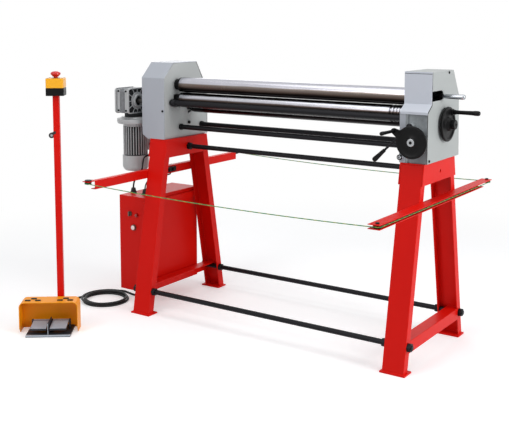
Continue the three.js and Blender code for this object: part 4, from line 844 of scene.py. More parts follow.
def settle(name, tree, seats, paint, values, body="root", bevel=0.0):
    """Runs a geometry tree on its seats, (place, way), and keeps what it makes as a plain piece."""
    points = bpy.data.meshes.new(name + "_seats")
    points.from_pydata([spot for spot, _ in seats], [], [])
    facing_of = points.attributes.new("facing", "FLOAT_VECTOR", "POINT")
    for item, (_, way) in zip(facing_of.data, seats):
        item.vector = way
    carrier = bpy.data.objects.new(name + "_seats", points)
    step = carrier.modifiers.new("made", "NODES")
    step.node_group = tree
    given_values = {**values, "Finish": paint}
    for item in tree.interface.items_tree:
        if item.in_out == "INPUT" and item.name in given_values:
            step[item.identifier] = given_values[item.name]
    scene.collection.objects.link(carrier)
    seen = carrier.evaluated_get(bpy.context.evaluated_depsgraph_get())
    mesh = bpy.data.meshes.new_from_object(seen)
    carrier.modifiers.remove(step)
    bpy.data.objects.remove(carrier)
    mesh.name = name
    mesh.shade_smooth()
    mesh.set_sharp_from_angle(angle=math.radians(30))
    made = bpy.data.objects.new(name, mesh)
    scene.collection.objects.link(made)
    if bevel:
        soften_edges(made, bevel)
    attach(made, body)
    return made


screw_steel = machined("screw_steel", "black_steel", "111214", 0.4, "z", metallic=0.8)


def screws(name, seats, radius, height):
    settle(name, socket_screws, seats, screw_steel,
           {"Head Radius": radius, "Head Height": height}, bevel=0.0004)


# Black strips stand as painted shadow in the gaps where sheet meets sheet: up the side cover's front
# edge, along the fold of the front cover, and round the rim of the left cover. Lines are corners in
# Y and Z.
SEAM = 0.0028
STEP_BACK = 0.042
side_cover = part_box("right_side_cover")
front_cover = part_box("right_front_cover")
edge_y = side_cover[0].y
seam = bmesh.new()
for line in ([(edge_y, 0.8775), (edge_y, 1.095), (edge_y + STEP_BACK, 1.126),
              (edge_y + STEP_BACK, 1.139)],
             [(edge_y + STEP_BACK, 1.183), (edge_y + STEP_BACK, 1.2645)]):
    outline = [(0, y - 0.0004, z) for y, z in line]
    outline += [(0, y + SEAM, z - (SEAM if 1.09 < z < 1.13 else 0)) for y, z in reversed(line)]
    slab(seam, outline, RIGHT, side_cover[1].x - 0.001, side_cover[1].x + 0.0003)
block(seam, (front_cover[0].x + 0.001, edge_y + 0.0384, 1.2555),
      (front_cover[1].x - 0.001, edge_y + 0.0405, 1.2575))
rim_line = [(0.2316, 1.2650), (0.2886, 1.1700), (0.3236, 1.1150), (0.3236, 0.8790)]
for (y, z), (next_y, next_z) in zip(rim_line, rim_line[1:]):
    run = Vector((0, next_y - y, next_z - z)).normalized()
    inwards = Vector((0, run.z, -run.y)) * SHEET
    first, last = Vector((0, y, z)), Vector((0, next_y, next_z))
    slab(seam, [first + inwards, first + inwards * 2, last + inwards * 2, last + inwards], RIGHT,
         left_face - 0.0016, left_face + 0.0002)
piece("cover_seams", seam, [seam_black])
left_front = left_cover[0].y
screws("left_cover_screws",
       [((left_face - 0.011, left_front, 1.022), FRONT),
        ((left_cover[0].x, tie_middle.y + 0.14, 0.96), LEFT),
        ((left_cover[0].x, tie_middle.y - 0.12, 0.93), LEFT),
        ((left_cover[0].x, tie_middle.y + 0.07, 1.20), LEFT)], 0.0058, 0.0035)
screws("right_cover_screws",
       [((side_cover[1].x, tie_middle.y - 0.1427, 0.889), RIGHT),
        ((side_cover[1].x, tie_middle.y + 0.055, 1.2555), RIGHT)], 0.0058, 0.0035)
screws("left_frame_screw",
       [((left_face, tie_middle.y + 0.031, 0.950), RIGHT)], 0.0085, 0.007)


# Feed bar and cross shafts
# Blackened bars between the frames: the feed bar in front of the lower roll, the pinch shaft
# with its worm wheel and the bending shaft with its sprocket.
BAR_RADIUS = 0.013
BAR_COLLAR = 0.020
SHAFT_RADIUS = 0.0125
SHAFT_COLLAR = 0.016
COLLAR_LENGTH = 0.012
WORM_WHEEL = (0.064, 0.084)
SPROCKET = (0.0995, 0.1095)
EASE = 0.001


def collared(collar, near, far):
    """A collar with eased corners on a cross shaft, as [along, radius]."""
    return [[near, SHAFT_RADIUS], [near, collar - EASE], [near + EASE, collar],
            [far - EASE, collar], [far, collar - EASE], [far, SHAFT_RADIUS]]


bar_low, bar_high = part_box("feed_bar")
bar = bmesh.new()
ball = [[left_seat + BAR_COLLAR * (0.8 - math.cos(math.radians(a))),
         BAR_COLLAR * math.sin(math.radians(a))] for a in range(46, 140, 8)]
turned(bar, [[bar_low.x, BAR_RADIUS], [left_seat, BAR_RADIUS], *ball, [bar_high.x, BAR_RADIUS]],
       "x", box_middle("feed_bar"))
piece("feed_bar_turned", bar, [black_bar], ["feed_bar"])

for node, (wheel_start, wheel_stop) in (("pinch_shaft", WORM_WHEEL), ("bend_shaft", SPROCKET)):
    low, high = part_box(node)
    shaft = bmesh.new()
    turned(shaft, [[low.x, SHAFT_RADIUS],
                   *collared(SHAFT_COLLAR, left_seat, left_seat + COLLAR_LENGTH),
                   *collared(SHAFT_COLLAR, right_seat - COLLAR_LENGTH, right_seat),
                   *collared((high.z - low.z) / 2, right_face + wheel_start,
                             right_face + wheel_stop),
                   [high.x, SHAFT_RADIUS]], "x", box_middle(node))
    piece(node + "_turned", shaft, [black_bar], [node])


# Front handwheel and its grip
# A moulded black wheel with a shallow recess, a bright cap over its screw, and a lug that
# carries the turning grip.
wheel_black = coated("wheel_black", "black_plastic", "0b0b0c", 0.36, grain_scale=700,
                     cloud_scale=9, cloud=0.5, gloss_spread=0.6, shine=0.14)
bright_steel = machined("bright_steel", "chrome", "a9abae", 0.26, "y", band=0.2)
chrome = machined("chrome", "chrome", "a2a5aa", 0.16, "x", band=0.12, gloss_spread=0.5,
                  depth=0.000002)
WHEEL_RADIUS = 0.070
WHEEL_THICK = 0.012
LUG_RADIUS = 0.012
PIN_RADIUS = 0.004
pinch_low, pinch_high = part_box("pinch_handwheel")
grip_low, grip_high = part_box("pinch_grip")
tip = box_middle("pinch_grip") * Vector((1, 0, 1))
wheel_axis = Vector((pinch_high.x - WHEEL_RADIUS, 0, pinch_low.z + WHEEL_RADIUS))
wheel_front = grip_high.y + PLATE_GAP
wheel_back = wheel_front + WHEEL_THICK


def turned_rim(back, front, radius, dish, hub):
    """The section of a moulded wheel from its back to its front, in mm, with a dished front."""
    way = 1 if front > back else -1
    return [*past(back, (0, hub), (0, radius - 3), (1.2, radius - 0.8), (3, radius), way=way),
            *past(front, (-3, radius), (-1.2, radius - 0.8), (0, radius - 3), (0, radius - 9),
                  (-0.8, radius - 10), (-dish, radius - 12.5), (-dish, hub + 7),
                  (-0.5, hub + 4), way=way)]


wheel = bmesh.new()
turned(wheel, [[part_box("pinch_shaft")[1].y, 0.008], *past(wheel_back, (13, 8), (13.5, 17)),
               *turned_rim(wheel_back, wheel_front, 70, 2.2, 17),
               *past(wheel_front, (-3, 18.5), (-3.5, 17.5))], "y", wheel_axis, 96)
turned(wheel, past(wheel_front, (-3, 16.5), (-4, 16.5), (-5, 15.5), (-5, 7), (-2, 6.5)), "y",
       wheel_axis, 64, 1)
lug_way = (tip - wheel_axis).normalized()
across = Vector((-lug_way.z, 0, lug_way.x))
root = wheel_axis + lug_way * (WHEEL_RADIUS - 0.012)
slab(wheel, [root + across * 0.020, root - across * 0.020, tip - across * LUG_RADIUS,
             tip + across * LUG_RADIUS], REAR, wheel_front + 0.0005, wheel_back - 0.0005)
turned(wheel, past(wheel_front, (0, 11), (1, 12), (11, 12), (12, 11)), "y", tip, 48)
turned(wheel, [[grip_low.y + 0.004, PIN_RADIUS], [wheel_front + 0.001, PIN_RADIUS]], "y", tip,
       24, 1)
piece("pinch_handwheel_moulded", wheel, [wheel_black, bright_steel], ["pinch_handwheel"],
      angle=35)


def grip_section(length, radius):
    """A waisted grip with a round end and a bore for its pin, as a closed section."""
    shares = [(0, 0.88), (0.01, 0.94), (0.06, 0.96), (0.12, 0.82), (0.3, 0.80), (0.55, 0.84),
              (0.74, 0.90), (0.80, 1.0), (0.93, 1.0), (0.97, 0.88), (0.99, 0.70), (1.0, 0.45)]
    outside = [[share * length, width * radius] for share, width in shares]
    bore = PIN_RADIUS + 0.0005
    return [*outside, [length, 0.001], [length - 0.0035, 0.001], [length - 0.0035, bore],
            [0, bore]]


grip = bmesh.new()
turned(grip, grip_section(grip_high.y - grip_low.y, 0.0085), FRONT,
       tip + Vector((0, grip_high.y, 0)), 48, ring=True)
piece("pinch_grip_moulded", grip, [wheel_black], ["pinch_grip"], angle=40)


# Lock lever and ring knob
# A thin black lever with a thick tapered grip clamps the lower roll's setting. Beside it a
# small bright ring closes the oiling hole.
LOCK_ANGLE = math.radians(223.6)
LOCK_LENGTH = 0.228
LOCK_NECK = 0.156
lock_hub = at(695, -194, 1036.5)
lock_way = Vector((math.cos(LOCK_ANGLE), 0, math.sin(LOCK_ANGLE)))
lever = bmesh.new()
turned(lever, past(lock_hub.y, (0, 11), (1.5, 13), (10.5, 13), (12, 12)), "y", lock_hub, 48)
turned(lever, [[lock_hub.y + 0.001, 0.006], [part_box("lock_lever")[1].y, 0.006]], "y", lock_hub, 32)
arm_start = lock_hub + Vector((0, 0.006, 0))
turned(lever, [*past(0, (0, 5.5), (20, 5)), *past(LOCK_NECK, (2, 5))], lock_way, arm_start, 32)
turned(lever, [*past(LOCK_NECK, (0, 6.5), (1, 7.8), (30, 9.3)),
               *past(LOCK_LENGTH, (-12, 11.3), (-6, 11.2), (-2, 9.8), (0, 7.5))], lock_way,
       arm_start, 48, 1)
piece("lock_lever_finished", lever, [black_bar, wheel_black], ["lock_lever"], angle=40)

ring = bmesh.new()
knob = at(646, -178.6, 901)
turned(ring, past(knob.y, (0, 4), (-1, 4.8), (-1, 7.2), (0, 8), (3, 8), (3, 4)), "y", knob, 48,
       ring=True)
turned(ring, past(knob.y, (0.6, 7.8), (0, 9), (0, 11.2), (1, 12.2), (6, 12.2), (7.5, 11),
                  (7.5, 7.8)), "y", knob, 48, 1, ring=True)
turned(ring, past(knob.y, (1.2, 4.2), (4, 4.2)), "y", knob, 32, 1)
piece("oil_ring", ring, [bright_steel, screw_steel], angle=35)


# Side handwheel, its grip and the chain
# A deep black wheel on the end of the bending spindle, with the sprocket inside the cover and
# a roller chain down to the bending shaft.
SIDE_RADIUS = 0.076
bend_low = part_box("bend_handwheel")[0]
side_grip_low, side_grip_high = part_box("bend_grip")
side_axis = Vector((0, tie_middle.y + 0.019, bend_low.z + SIDE_RADIUS))
side_back = side_grip_low.x - PLATE_GAP - WHEEL_THICK
side_front = side_back + WHEEL_THICK
cover_face = side_cover[1].x
sprocket_low = right_face + SPROCKET[0]
sprocket_high = right_face + SPROCKET[1]
side_wheel = bmesh.new()
turned(side_wheel, [
    [bend_low.x, 0.009], [sprocket_low, 0.009], [sprocket_low, 0.0245], [sprocket_high, 0.0245],
    [sprocket_high, 0.009], [cover_face + PLATE_GAP, 0.009], [cover_face + PLATE_GAP, 0.016],
    *turned_rim(side_back, side_front, 76, 5, 17.5)[:-2],
    *past(side_front, (-5, 36), (-2, 30), (7, 26.5), (9, 25.5), (12, 25), (12.5, 21.5),
          (29, 21.5), (31, 19.5), (31, 6), (28, 5.5))], "x", side_axis, 96)
side_tip = box_middle("bend_grip") * Vector((0, 1, 1))
turned(side_wheel, [[side_back + 0.002, PIN_RADIUS], [side_grip_high.x - 0.004, PIN_RADIUS]],
       "x", side_tip, 24, 1)
turned(side_wheel, past(side_back, (2, 15.5), (11, 14.5), (12, 13.5)), "x", side_tip, 40)
piece("bend_handwheel_moulded", side_wheel, [wheel_black, bright_steel], ["bend_handwheel"],
      angle=35)
side_grip = bmesh.new()
turned(side_grip, grip_section(side_grip_high.x - side_grip_low.x, 0.011), RIGHT,
       side_tip + Vector((side_grip_low.x, 0, 0)), 48, ring=True)
piece("bend_grip_moulded", side_grip, [wheel_black], ["bend_grip"], angle=40)


# Release lever
# A chromed lever on an upright pin in the slot of the side cover frees the top roll's bearing.
PIN_HEAD = 0.013
release_low, release_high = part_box("release_lever")
pin = Vector((release_low.x + PIN_HEAD, release_low.y + PIN_HEAD, 0))
lever_start = pin + Vector((0, 0, box_middle("release_lever").z))
reach = release_high.x - pin.x
outside = cover_face - pin.x
release = bmesh.new()
turned(release, [*past(release_low.z, (0, 12), (1, 13)), *past(release_high.z, (-1, 13), (0, 12))],
       "z", pin, 48, 1)
turned(release, [[0.004, 0.0062], *past(outside, (-12, 6.4), (-11, 10.5), (6, 10.5), (7, 9))],
       RIGHT, lever_start, 48, 1)
turned(release, [*past(outside, (6, 8.8), (10, 9.2), (50, 10)),
                 *past(reach, (-22, 10.8), (-10, 11.2), (-4, 10.5), (-1, 8.5), (0, 6))], RIGHT,
       lever_start, 64)
piece("release_lever_chromed", release, [chrome, wheel_black], ["release_lever"], angle=40)


# Chain
# A roller chain joins the side handwheel's sprocket to the one on the bending shaft. Its links
# are stamped plates with a roller between them.
CHAIN_RADIUS = 0.0285
CHAIN_LINKS = 52
CHAIN_WIDTH = 0.008


def bar_of(tree, size):
    return place(tree, "GeometryNodeMeshCube", {"Size": size}).outputs["Mesh"]


def chain_link(tree, given):
    """Two plates with a roller between them."""
    pitch, width = given["Pitch"], given["Width"]
    size = place(tree, "ShaderNodeCombineXYZ",
                 {"X": share_of(tree, pitch, 1.25), "Y": share_of(tree, pitch, 0.6),
                  "Z": share_of(tree, width, 0.16)}).outputs[0]
    plate = bar_of(tree, size)
    link = tree.nodes.new("GeometryNodeJoinGeometry")
    roller = cylinder(tree, 16, share_of(tree, pitch, 0.33), share_of(tree, width, 0.8))
    tree.links.new(roller, link.inputs[0])
    for share in (-0.42, 0.42):
        away = upwards(tree, share_of(tree, width, share))
        tree.links.new(moved(tree, plate, away), link.inputs[0])
    return place(tree, "GeometryNodeTransform",
                 {"Geometry": link.outputs[0],
                  "Rotation": (math.pi / 2, 0, math.pi / 2)}).outputs[0]


chain_links = copies_tree("chain_links", chain_link, {"Pitch": "f", "Width": "f"}, axis="Y",
                          pivot_axis="X")
chain_x = right_face + sum(SPROCKET) / 2
upper = side_axis + Vector((chain_x, 0, 0))
lower = box_middle("bend_shaft")
lower.x = chain_x
straight = (lower - upper).length
along = (lower - upper).normalized()
outwards = Vector((0, -along.z, along.y))
half_turn = math.pi * CHAIN_RADIUS
chain_pitch = 2 * (straight + half_turn) / CHAIN_LINKS


def chain_seat(run):
    """Where a link stands and which way it points, a run's length round the chain."""
    for start, end, out, way in ((upper, lower, outwards, along),
                                 (lower, upper, -outwards, -along)):
        if run < straight:
            return start + out * CHAIN_RADIUS + way * run, way
        run -= straight
        if run < half_turn:
            cos, sin = math.cos(run / CHAIN_RADIUS), math.sin(run / CHAIN_RADIUS)
            return end + (out * cos + way * sin) * CHAIN_RADIUS, way * cos - out * sin
        run -= half_turn


chain = settle("bend_chain_links", chain_links,
               [chain_seat(chain_pitch * k) for k in range(CHAIN_LINKS)], gear_steel,
               {"Pitch": chain_pitch, "Width": CHAIN_WIDTH})
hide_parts("bend_chain")


# Gear motor
# A worm reducer of cast aluminium stands on a bracket beside the gear cover, with the ribbed
# motor and its fan cowl hanging under it, all sprayed silver grey. Its recessed panels, hub bores,
# the motor body between its fins and the collar under the case are painted near-black as shade.
motor_paint = coated("motor_paint", "motor_paint", "b2b4b5", 0.42, grain_scale=300,
                     grain_depth=0.00012, cloud_scale=14, cloud=0.35, gloss_spread=0.6,
                     metallic=0.2, wear_and_highlight="d6d8da", shine=0.4)
# A darker grey, in heavy clouds, for the middle of the case set back between its side plates and for
# its top boss.
dusty_cast = coated("dusty_cast", "motor_paint", "77797c", 0.5, grain_scale=260,
                    grain_depth=0.0003, cloud_scale=40, cloud=1.2, gloss_spread=0.8,
                    metallic=0.2, wear_and_highlight="a9abad", shine=0.4)
# Near-black painted shade for the reducer's recessed panels and hub bores, the motor body between
# its fins and the collar under the case.
sooty_recess = coated("sooty_recess", "motor_paint", "1e2022", 0.6, grain_scale=300,
                      grain_depth=0.0002, cloud_scale=30, cloud=0.9, metallic=0.2, shine=0.3)
case_low, case_high = at(-973.5, -192, 997), at(-878.5, -46, 1130)
PLATE = 0.009
RIM_DEPTH = 0.0045
FLUTES = 12
EDGE_MARGIN = 0.004
case = bmesh.new()
block(case, case_low + Vector((PLATE, 0.012, 0.004)), case_high - Vector((PLATE, 0, 0.004)), 2)
turned(case, [*past(case_low.z, (3, 26), (6, 31)),
              *past(case_high.z, (-20, 31), (-10, 28), (-3, 18), (-1, 6))], "z",
       Vector((at(-926, 0, 0).x, case_low.y + 0.0315, 0)), 48, 2)
hub = at(0, -120, 1063) * Vector((0, 1, 1))


def rounded_square(low, high, corner, steps=5):
    """Corner points of a square with round corners."""
    near_u, near_v = low[0] + corner, low[1] + corner
    far_u, far_v = high[0] - corner, high[1] - corner
    points = []
    for start, u, v in ((0, far_u, far_v), (90, near_u, far_v), (180, near_u, near_v),
                        (270, far_u, near_v)):
        for k in range(steps + 1):
            angle = math.radians(start + 90 * k / steps)
            points.append((u + corner * math.cos(angle), v + corner * math.sin(angle)))
    return points


def to_edge(way):
    """How far the hub is from the case's edge along a way, less a margin."""
    limits = []
    for step, start, low, high in ((way.y, hub.y, case_low.y, case_high.y),
                                   (way.z, hub.z, case_low.z, case_high.z)):
        if abs(step) > 0.01:
            edge_at = high - EDGE_MARGIN if step > 0 else low + EDGE_MARGIN
            limits.append((edge_at - start) / step)
    return min(limits)


edge = rounded_square((case_low.y, case_low.z), (case_high.y, case_high.z), 0.016)
rim = rounded_square((case_low.y + 0.006, case_low.z + 0.006),
                     (case_high.y - 0.006, case_high.z - 0.006), 0.012)
for face_x, way, hub_height in ((case_low.x, 1, 7.5), (case_high.x, -1, 10)):
    slab(case, [(0, y, z) for y, z in edge], RIGHT, face_x + way * 0.0044, face_x + way * PLATE)
    slab(case, [(0, y, z) for y, z in rim], RIGHT, face_x + way * 0.0040,
         face_x + way * RIM_DEPTH, 1)
    loops = [[case.verts.new((x, y, z)) for y, z in line]
             for line, x in ((edge, face_x), (edge, face_x + way * RIM_DEPTH),
                             (rim, face_x + way * RIM_DEPTH), (rim, face_x))]
    made = [face for near, far in zip(loops, loops[1:] + loops[:1])
            for face in skirt(case, near, far)]
    bmesh.ops.recalc_face_normals(case, faces=made)
    for k in range(FLUTES):
        angle = 2 * math.pi * k / FLUTES
        out = Vector((0, math.cos(angle), math.sin(angle)))
        sideways = Vector((0, -out.z, out.y)) * 0.0016
        near = hub + out * 0.036
        far = hub + out * to_edge(out)
        slab(case, [near + sideways, near - sideways, far - sideways, far + sideways], RIGHT,
             face_x + way * 0.0012, face_x + way * 0.005)
    turned(case, past(face_x, (4.5, 46), (0.5, 45), (0, 40), (0, 34), (1 - hub_height, 34),
                      (-hub_height, 33), (-hub_height, 26), (4, 25), (4, 13.5), (6, 13.5),
                      way=way), "x", hub, 64, ring=True)
    turned(case, past(face_x, (4.5, 25.5), (3.8, 25.5), way=way), "x", hub, 48, 1)
bracket_right = left_cover[0].x - PLATE_GAP
block(case, (case_low.x + 0.010, case_high.y - 0.001, case_low.z + 0.012),
      (bracket_right, case_high.y + 0.012, case_high.z - 0.012))
block(case, (bracket_right - 0.008, case_high.y - 0.030, case_low.z + 0.002),
      (bracket_right, case_high.y + 0.072, case_high.z - 0.002))
lugs = (case_low.x + 0.022, case_high.x - 0.022)
for x in lugs:
    block(case, (x - 0.0105, case_low.y + 0.006, case_low.z + 0.006),
          (x + 0.0105, case_low.y + 0.013, case_high.z - 0.006))
piece("gear_reducer_cast", case, [motor_paint, sooty_recess, dusty_cast], ["gear_reducer"],
      bevel=0.0012, angle=40)
screws("reducer_screws",
       [((x, y, z), way) for x, way in ((case_high.x - 0.0005, RIGHT), (case_low.x + 0.0005, LEFT))
        for y in (case_low.y + 0.012, case_high.y - 0.012)
        for z in (case_low.z + 0.012, case_high.z - 0.012)]
       + [((x, case_low.y + 0.0062, z), FRONT) for x in lugs
          for z in (case_low.z + 0.016, case_high.z - 0.016)], 0.005, 0.004)

MOTOR_RADIUS = 0.0585
FIN_HEIGHT = 0.010
FIN_THICK = 0.0042
FINS = 28
MOTOR_LOW = 0.772
MOTOR_HIGH = 0.940
FIN_LOW = MOTOR_LOW + 0.004
FIN_LENGTH = MOTOR_HIGH - 0.016 - FIN_LOW
motor_axis = at(-924.5, -90, 0)
cooling_fins = copies_tree("cooling_fins", lambda tree, given: bar_of(tree, given["Size"]),
                           {"Size": "v"}, axis="X", pivot_axis="Z")
seats = []
for k in range(FINS):
    angle = 2 * math.pi * (k + 0.5) / FINS
    way = Vector((math.cos(angle), math.sin(angle), 0))
    seats.append((motor_axis + way * (MOTOR_RADIUS + 0.0005)
                  + Vector((0, 0, FIN_LOW + FIN_LENGTH / 2)), way))
settle("motor_fins", cooling_fins, seats, motor_paint,
       {"Size": (FIN_HEIGHT, FIN_THICK, FIN_LENGTH)}, bevel=0.0005)

motor = bmesh.new()
# Look 2 is painted shade: the motor body between its fins and the collar under the reducer.
for profile, look in (
        ([*past(MOTOR_LOW, (-14, 50), (-12, 52), (0, 52), (0, 58.5)),
          *past(MOTOR_HIGH, (-13, 58.5))], 2),
        (past(MOTOR_HIGH, (-14, 58), (-14, 63.5), (1, 63.5)), 0),
        (past(MOTOR_HIGH, (0, 88), (2, 92), (10, 94.5), (12, 95), (24, 95), (26, 93), (28, 76),
              (36, 70)), 0),
        ([*past(MOTOR_HIGH, (35, 55)), [case_low.z - PLATE_GAP, 0.055]], 2)):
    turned(motor, profile, "z", motor_axis, 96, look)
terminal_low, terminal_high = at(-954.5, -35, 790), at(-894.5, 12, 850)
block(motor, terminal_low, terminal_high - Vector((0, 0.010, 0)))
block(motor, (terminal_low.x - 0.0015, terminal_high.y - 0.0095, terminal_low.z - 0.0015),
      (terminal_high.x + 0.0015, terminal_high.y, terminal_high.z + 0.0015))
turned(motor, past(terminal_high.x, (-1, 9), (6, 9), (6.5, 7.5), (9.7, 7)), "x",
       at(0, -6, 820), 24, 1)
piece("motor_cast", motor, [motor_paint, wheel_black, sooty_recess], ["motor"], bevel=0.001,
      angle=40)
screws("motor_screws",
       [(motor_axis + Vector((0.083 * math.cos(a), 0.083 * math.sin(a), MOTOR_HIGH + 0.0005)), DOWN)
        for a in (math.radians(45 + 90 * k) for k in range(4))]
       + [((x, terminal_high.y - 0.0002, z), REAR)
          for x in (terminal_low.x + 0.006, terminal_high.x - 0.006)
          for z in (terminal_low.z + 0.006, terminal_high.z - 0.006)], 0.004, 0.003)

COWL_LOW = 0.690
COWL_HIGH = 0.7717
cowl = bmesh.new()
grille = []
for k in range(7):
    radius = 14 + 6 * k
    grille += past(COWL_LOW, (0.2, radius), (2.2, radius + 1), (2.2, radius + 3),
                   (0.2, radius + 4))
turned(cowl, [[COWL_LOW, 0.010], *grille,
              *past(COWL_LOW, (1.6, 56.5), (7, 62), (14.5, 66.5), (24, 69)),
              *past(COWL_HIGH, (0, 69), (0, 56), (-4, 56), (-4, 66.5)),
              *past(COWL_LOW, (24, 66.5), (5, 52), (5, 10))], "z", motor_axis, 96, ring=True)
turned(cowl, past(COWL_LOW, (0.5, 10.5), (4, 10.5)), "z", motor_axis, 32)
piece("fan_cowl_pressed", cowl, [motor_paint], ["fan_cowl"], angle=35)


# Cabinet
# A welded sheet box hangs on rails from the left stand and holds the electrical gear. Its front
# has a key switch and two lamps, its outer side a hinged door.
dark_rubber = coated("dark_rubber", "cable_rubber", "111113", 0.55, grain_scale=1100,
                     cloud_scale=20, cloud=0.4, gloss_spread=0.5)
softened("cabinet_body", [red_paint], bevel=0.0012)
softened("cabinet_door", [red_paint], bevel=0.0012)
key_metal = machined("key_metal", "chrome", "6f625a", 0.35, "y", metallic=0.8)
softened("key_switch", [key_metal], bevel=0.0008, angle=30)
lamp_lens = coated("lamp_lens", "chrome", "fff2f0", 0.12, grain_scale=300, cloud_scale=60,
                   cloud=0.25, coat=0.4)
red_lens = coated("red_lens", "red_plastic", "8e0f0c", 0.15, grain_scale=300, cloud_scale=60,
                  cloud=0.25, coat=0.4)


def pilot_lamp(name, spot, radius, lens, bezel):
    """A domed lens in its bezel on the cabinet's front."""
    shape = bmesh.new()
    front = spot.y - 0.010
    turned(shape, [[front, radius * 0.78], [front, radius * 0.92], [front + 0.002, radius],
                   [spot.y, radius + 0.001], [spot.y, radius * 0.78]], "y", spot, 48, 1, ring=True)
    dome = [[front - radius * 0.42 * math.cos(math.radians(a)),
             radius * 0.79 * math.sin(math.radians(a))] for a in range(6, 91, 12)]
    turned(shape, [*dome, [spot.y - 0.004, radius * 0.79]], "y", spot, 48)
    piece(name, shape, [lens, bezel], angle=40)


pilot_lamp("white_lamp", at(-840.5, -205, 408), 0.0150, lamp_lens, key_metal)
pilot_lamp("red_lamp", at(-818.5, -205, 475), 0.009, red_lens, red_lens)


def boot(name, start, way, cable, length=0.024):
    """A gland nut and a tapered rubber sleeve round a cable where it enters a housing."""
    shape = bmesh.new()
    inner = cable / 2 + 0.0001
    turned(shape, [[0.0001, inner], [0.0001, inner + 0.0075], [0.007, inner + 0.0075],
                   [0.007, inner]], way, start, 6, ring=True)
    sleeve = length - 0.007
    ribs = []
    for k in range(4):
        along = 0.007 + sleeve * k / 4
        width = 0.0055 * (1 - 0.2 * k)
        ribs += [[along, inner + width], [along + sleeve / 6, inner + width * 0.92],
                 [along + sleeve / 5, inner + width * 0.7]]
    turned(shape, [[0.0065, inner], *ribs, [length, inner + 0.0012], [length, inner]], way,
           start, 32, ring=True)
    piece(name, shape, [dark_rubber], angle=35)


hood_way = at_station(0, 1, 0) - at_station(0, 0, 0)
boot("motor_lead_boot", at(-916.5, -121, 571), UP, 0.0185, 0.026)
boot("switch_lead_boot", at(-835.5, -121, 571), UP, 0.0185, 0.026)
boot("pedal_lead_boot", at(-850, -30, 70), DOWN, 0.0225)
boot("hood_boot", at_station(90, 95, 20), hood_way, 0.0205, 0.030)


# Inside the cabinet
# A zinc plate stands off the wall behind the door. Two rails on it carry contactors, breakers and
# terminals, with a transformer below and slotted ducts for the wires between them.
zinc_plate = coated("zinc_plate", "chrome", "b4b8ba", 0.42, cloud_scale=30, cloud=0.2,
                    metallic=0.6)
switch_grey = coated("switch_grey", "grey_paint", "d3d5d2", 0.5, grain_scale=700,
                     grain_depth=0.00001, cloud=0.06)
duct_grey = coated("duct_grey", "motor_paint", "8f9496", 0.6, cloud=0.06)
PLATE_FACE = -777
WALL_FACE = -764.8
RAIL_FACE = -785
RAIL_HEIGHTS = (450, 290)
DUCT_HEIGHTS = (372, 225)


def fittings(name, finishes, *rows, bevel=0.0, shape=None):
    """A piece of boxes: near face, depth, middle and size in Y and Z in mm, and finish."""
    shape = shape or bmesh.new()
    for near, depth, (y, z), (wide, tall), look in rows:
        block(shape, at(near - depth, y - wide / 2, z - tall / 2),
              at(near, y + wide / 2, z + tall / 2), look)
    piece(name, shape, finishes, bevel=bevel)


posts = bmesh.new()
post_start, post_stop = at(PLATE_FACE, 0, 0).x, at(WALL_FACE, 0, 0).x
for post_y in (-165, 185):
    for post_z in (112, 532):
        turned(posts, [[post_start, 0], [post_start, 0.006], [post_stop, 0.006], [post_stop, 0]],
               "x", at(0, post_y, post_z), 12)
fittings("cabinet_plate", [zinc_plate], (PLATE_FACE + 2, 2, (10, 322), (370, 440), 0),
         *((near, depth, (10, z), (350, tall), 0) for z in RAIL_HEIGHTS
           for near, depth, tall in ((PLATE_FACE, 6, 26), (PLATE_FACE - 6, 2, 35))),
         bevel=0.0004, shape=posts)
contactors = [(near, depth, (50 * k - 125, 450), size, look) for k in range(3)
              for near, depth, size, look in ((RAIL_FACE, 70, (45, 84), 0),
                                              (RAIL_FACE - 70, 12, (44, 52), 1),
                                              (RAIL_FACE - 82, 5, (14, 10), 0))]
breakers = [(near, depth, (38 + 18.5 * k, z), size, look) for k in range(5)
            for near, depth, z, size, look in ((RAIL_FACE, 44, 450, (17.5, 84), 0),
                                               (RAIL_FACE - 44, 16, 450, (17.5, 46), 0),
                                               (RAIL_FACE - 60, 8, 455, (10, 12), 1))]
terminals = [(near, depth, (8.2 * k - 160, 290), (7.4, tall), 0) for k in range(22)
             for near, depth, tall in ((RAIL_FACE, 36, 42), (RAIL_FACE - 36, 8, 24))]
fittings("cabinet_switchgear", [switch_grey, wheel_black], *contactors, *breakers,
         (RAIL_FACE, 58, (155, 450), (36, 90), 0), (RAIL_FACE - 58, 3, (155, 470), (22, 22), 1),
         *terminals, (RAIL_FACE, 52, (70, 290), (72, 92), 0),
         (RAIL_FACE - 52, 4, (70, 290), (56, 40), 1), (RAIL_FACE, 60, (140, 290), (44, 80), 0),
         bevel=0.0006)
fittings("cabinet_transformer", [black_bar, journal_steel],
         (PLATE_FACE, 12, (120, 165), (96, 88), 0), (PLATE_FACE - 12, 70, (120, 165), (84, 70), 0),
         (PLATE_FACE - 20, 54, (120, 165), (52, 94), 1), bevel=0.0008)
fittings("cabinet_ducts", [duct_grey],
         *((near, depth, (10, z), (350, 40), 0) for z in DUCT_HEIGHTS
           for near, depth in ((PLATE_FACE, 3), (PLATE_FACE - 55, 2))),
         *((PLATE_FACE - 3, 52, (12.67 * k - 161, z + side), (8, 1.6), 0) for z in DUCT_HEIGHTS
           for k in range(28) for side in (-19.2, 19.2)))


